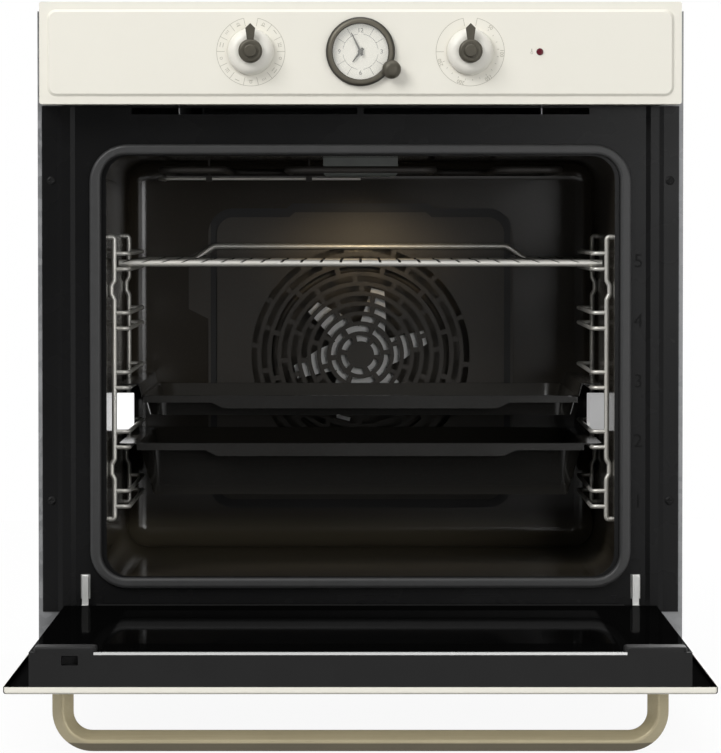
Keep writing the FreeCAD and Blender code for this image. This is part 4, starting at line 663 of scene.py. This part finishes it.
glass_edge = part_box("clock_glass")[1].x
# Painted shade: the ring is darker near its outer and inner edges.
rim_start, rim_full = ring_edge - 0.0026, ring_edge - 0.0006
lip_full, lip_end = glass_edge - 0.0004, glass_edge + 0.0016
reach = ring.sum("SQRT", ring.sum("POWER", ring.along("X"), 2.0)
                 + ring.sum("POWER", ring.along("Z") - knob_up, 2.0))
painted_edge_shade = ring.sum("MAXIMUM", ring.between(reach, rim_start, rim_full),
                     1 - ring.between(reach, lip_full, lip_end))
cast = ring.noise(160.0, 4.0)
crown = ring.blend(cast, (0.094, 0.084, 0.063), (0.135, 0.123, 0.094))
ring.set(base_color=ring.blend(painted_edge_shade, crown, (0.016, 0.0145, 0.0105)), metallic=0.35 + cast * 0.2,
         roughness=0.36 + cast * 0.16)
ring.rough(cast, 0.00004)
ring.on("clock_bezel")

# Clock: a printed cream dial under a flat glass in the bronze ring. Thin grey lines mark the hours outside an
# inner circle, and four of them have their numbers.
paper = Finish("clock_paper", roughness=0.55)
paper.set(base_color=paper.blend(paper.noise(60.0), (0.85, 0.815, 0.72), (0.89, 0.86, 0.775)))
paper.on("clock_dial")
clear = Finish("clear_glass", base_color=(0.90, 0.93, 0.92), alpha=0.10)
clear.set(roughness=0.03 + clear.noise(30.0) * 0.04)
clear.on("clock_glass", "door_middle_glass")
dial_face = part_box("clock_dial")[0].y
dial_ink = Finish("dial_ink", roughness=0.55)
dial_ink.set(base_color=dial_ink.blend(dial_ink.noise(900.0), (0.10, 0.095, 0.08), (0.18, 0.17, 0.145)))
circle, hour_end, hair, number_gap, dial_rise = 0.0166, 0.0244, 0.00034, 9.0, 0.00006
line_face = dial_face - dial_rise
hours = [spoke(0.0, knob_up, circle, hour_end, 30.0 * hour, hair, line_face) for hour in range(12) if hour % 3]
hours += [arc(0.0, knob_up, circle - hair, circle, quarter + number_gap, quarter + 90.0 - number_gap,
              line_face, 25) for quarter in (0.0, 90.0, 180.0, 270.0)]
patches("dial_lines", hours, dial_ink, "oven")
number_ring, number_size, number_face = 0.0196, 0.0058, dial_face - 0.00002
numbers = [("12", 0.0, number_ring), ("3", number_ring, 0.0), ("6", 0.0, -number_ring),
           ("9", -number_ring, 0.0)]
stamp("dial_numbers", [(word, across, knob_up + up, number_size, 0.0) for word, across, up in numbers],
      number_face, dial_rise, dial_ink, "oven")

# Indicator: a small domed lens of clear red plastic, pressed into its hole in the panel.
# Its lamp is off.
red = Finish("red_lens", roughness=0.12)
red.set(base_color=red.blend(red.noise(300.0), (0.085, 0.003, 0.010), (0.125, 0.004, 0.016)))
red.on("indicator_lamp")

# Door glass: the inner and outer panes are dark tinted glass, held in the door's profiles.
# The inner one has a matt black print round its window.
smoke = Finish("dark_glass", specular_ior_level=0.10)
smear = smoke.noise(6.0)
smoke.set(base_color=smoke.blend(smear, (0.0015, 0.0015, 0.0015), (0.0028, 0.0028, 0.0028)),
          roughness=0.05 + smear * 0.04)
smoke.on("door_outer_glass")
pane_low, pane_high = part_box("door_inner_glass")
window = Finish("window_glass", specular_ior_level=0.0, coat_roughness=0.04)
clean = window.noise(6.0)
window_half, window_front, window_back, soft = 0.214, pane_low.y + 0.073, pane_high.y - 0.055, 0.004
from_middle = window.sum("ABSOLUTE", window.along("X"))
see_through = ((1 - window.between(from_middle, window_half, window_half + soft))
               * window.between(window.along("Y"), window_front, window_front + soft)
               * (1 - window.between(window.along("Y"), window_back, window_back + soft)))
window.set(base_color=window.blend(clean, (0.0012, 0.0012, 0.0012), (0.0022, 0.0022, 0.0022)),
           roughness=0.50 + clean * 0.1, coat_weight=0.04 + see_through * 0.34)
window.on("door_inner_glass")

# Door profiles: black moulded plastic with a fine grain closes the door's sides and ends between its panes.
# A bright strip is pressed into the top edge, between the corner pieces.
plastic = Finish("black_plastic", specular_ior_level=0.15)
grain = plastic.noise(1400.0, 2.0)
plastic.set(base_color=plastic.blend(plastic.noise(30.0), (0.0095, 0.0095, 0.0095), (0.0125, 0.0125, 0.0125)),
            roughness=0.42 + grain * 0.12)
plastic.rough(grain, 0.00003)
plastic.on("door_bottom_rail", "door_side_left", "door_side_right", "door_top_trim")
chrome = Finish("chrome_strip", metallic=0.7)
chrome.set(base_color=(0.74, 0.74, 0.73), roughness=0.22 + chrome.noise(40.0) * 0.08)
chrome.on("trim_strip")


# Corner caps: the profiles' moulded ends rise a little above the inner glass at the door's two free corners.
# They are of the same black plastic.
def cap(low_x, high_x, low_y, high_y, foot, top, corner):
    """A rounded rectangle, carried up: it keeps its size to the shoulder, then draws in along a quarter circle,
    and closes at its middle. The outline is a rectangle's corner points pushed out by a quarter circle at each
    corner."""
    shoulder = corner * 0.4
    angle = np.linspace(0.0, 2.0 * np.pi, 65)
    middle = np.array([(low_x + high_x) / 2, (low_y + high_y) / 2])
    half = np.array([(high_x - low_x) / 2 - corner, (high_y - low_y) / 2 - corner])
    ray = np.stack([np.cos(angle), np.sin(angle)], axis=-1)
    turn = np.linspace(0.0, np.pi / 2, 7)
    inset = np.concatenate([[0.0], shoulder * (1.0 - np.cos(turn))])
    height = np.concatenate([[foot], top - shoulder * (1.0 - np.sin(turn))])
    loops = middle + np.sign(np.round(ray, 9)) * half + (corner - inset)[:, None, None] * ray
    rise = np.broadcast_to(height[:, None, None], (len(height), len(angle), 1))
    shell = np.concatenate([loops, rise], axis=-1)
    lid = np.broadcast_to(np.array([*middle, top]), (1, len(angle), 3))
    return np.concatenate([shell, lid])


cap_across, cap_half, cap_depth, cap_corner = 0.246, 0.026, 0.028, 0.005
cap_foot, cap_top = pane_high.z - 0.0005, pane_high.z + 0.0043
door_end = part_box("door_side_left")[0].y
caps = [cap(side * cap_across - cap_half, side * cap_across + cap_half, door_end, door_end + cap_depth,
            cap_foot, cap_top, cap_corner) for side in (-1, 1)]
patches("corner_caps", caps, plastic, "door")

# Handle: a squarish tube bent to a wide U, in brushed and darkened brass, screwed on from inside the door.
# Below its crease it is painted darker: painted shade on the underside, which faces away from the light.
brass = Finish("antique_brass")
brush = brass.noise(900.0, 3.0, (0.02, 1.0, 1.0))
age = brass.noise(14.0, 4.0)
crease, crease_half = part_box("door_handle")[0].z + 0.0075, 0.0006
# Painted shade: the bar is a lit brass above its crease and a shaded brass below it.
painted_underside_shade = 1 - brass.between(brass.along("Z"), crease - crease_half, crease + crease_half)
streak = brush * 0.45 + age * 0.55
lit_brass = brass.blend(streak, (0.340, 0.292, 0.180), (0.500, 0.437, 0.290))
shadow = brass.blend(streak, (0.096, 0.080, 0.047), (0.150, 0.128, 0.080))
brass.set(base_color=brass.blend(painted_underside_shade, lit_brass, shadow), metallic=0.25 + age * 0.15,
          roughness=0.34 + brush * 0.14)
brass.rough(brush, 0.00003)
brass.on("door_handle")
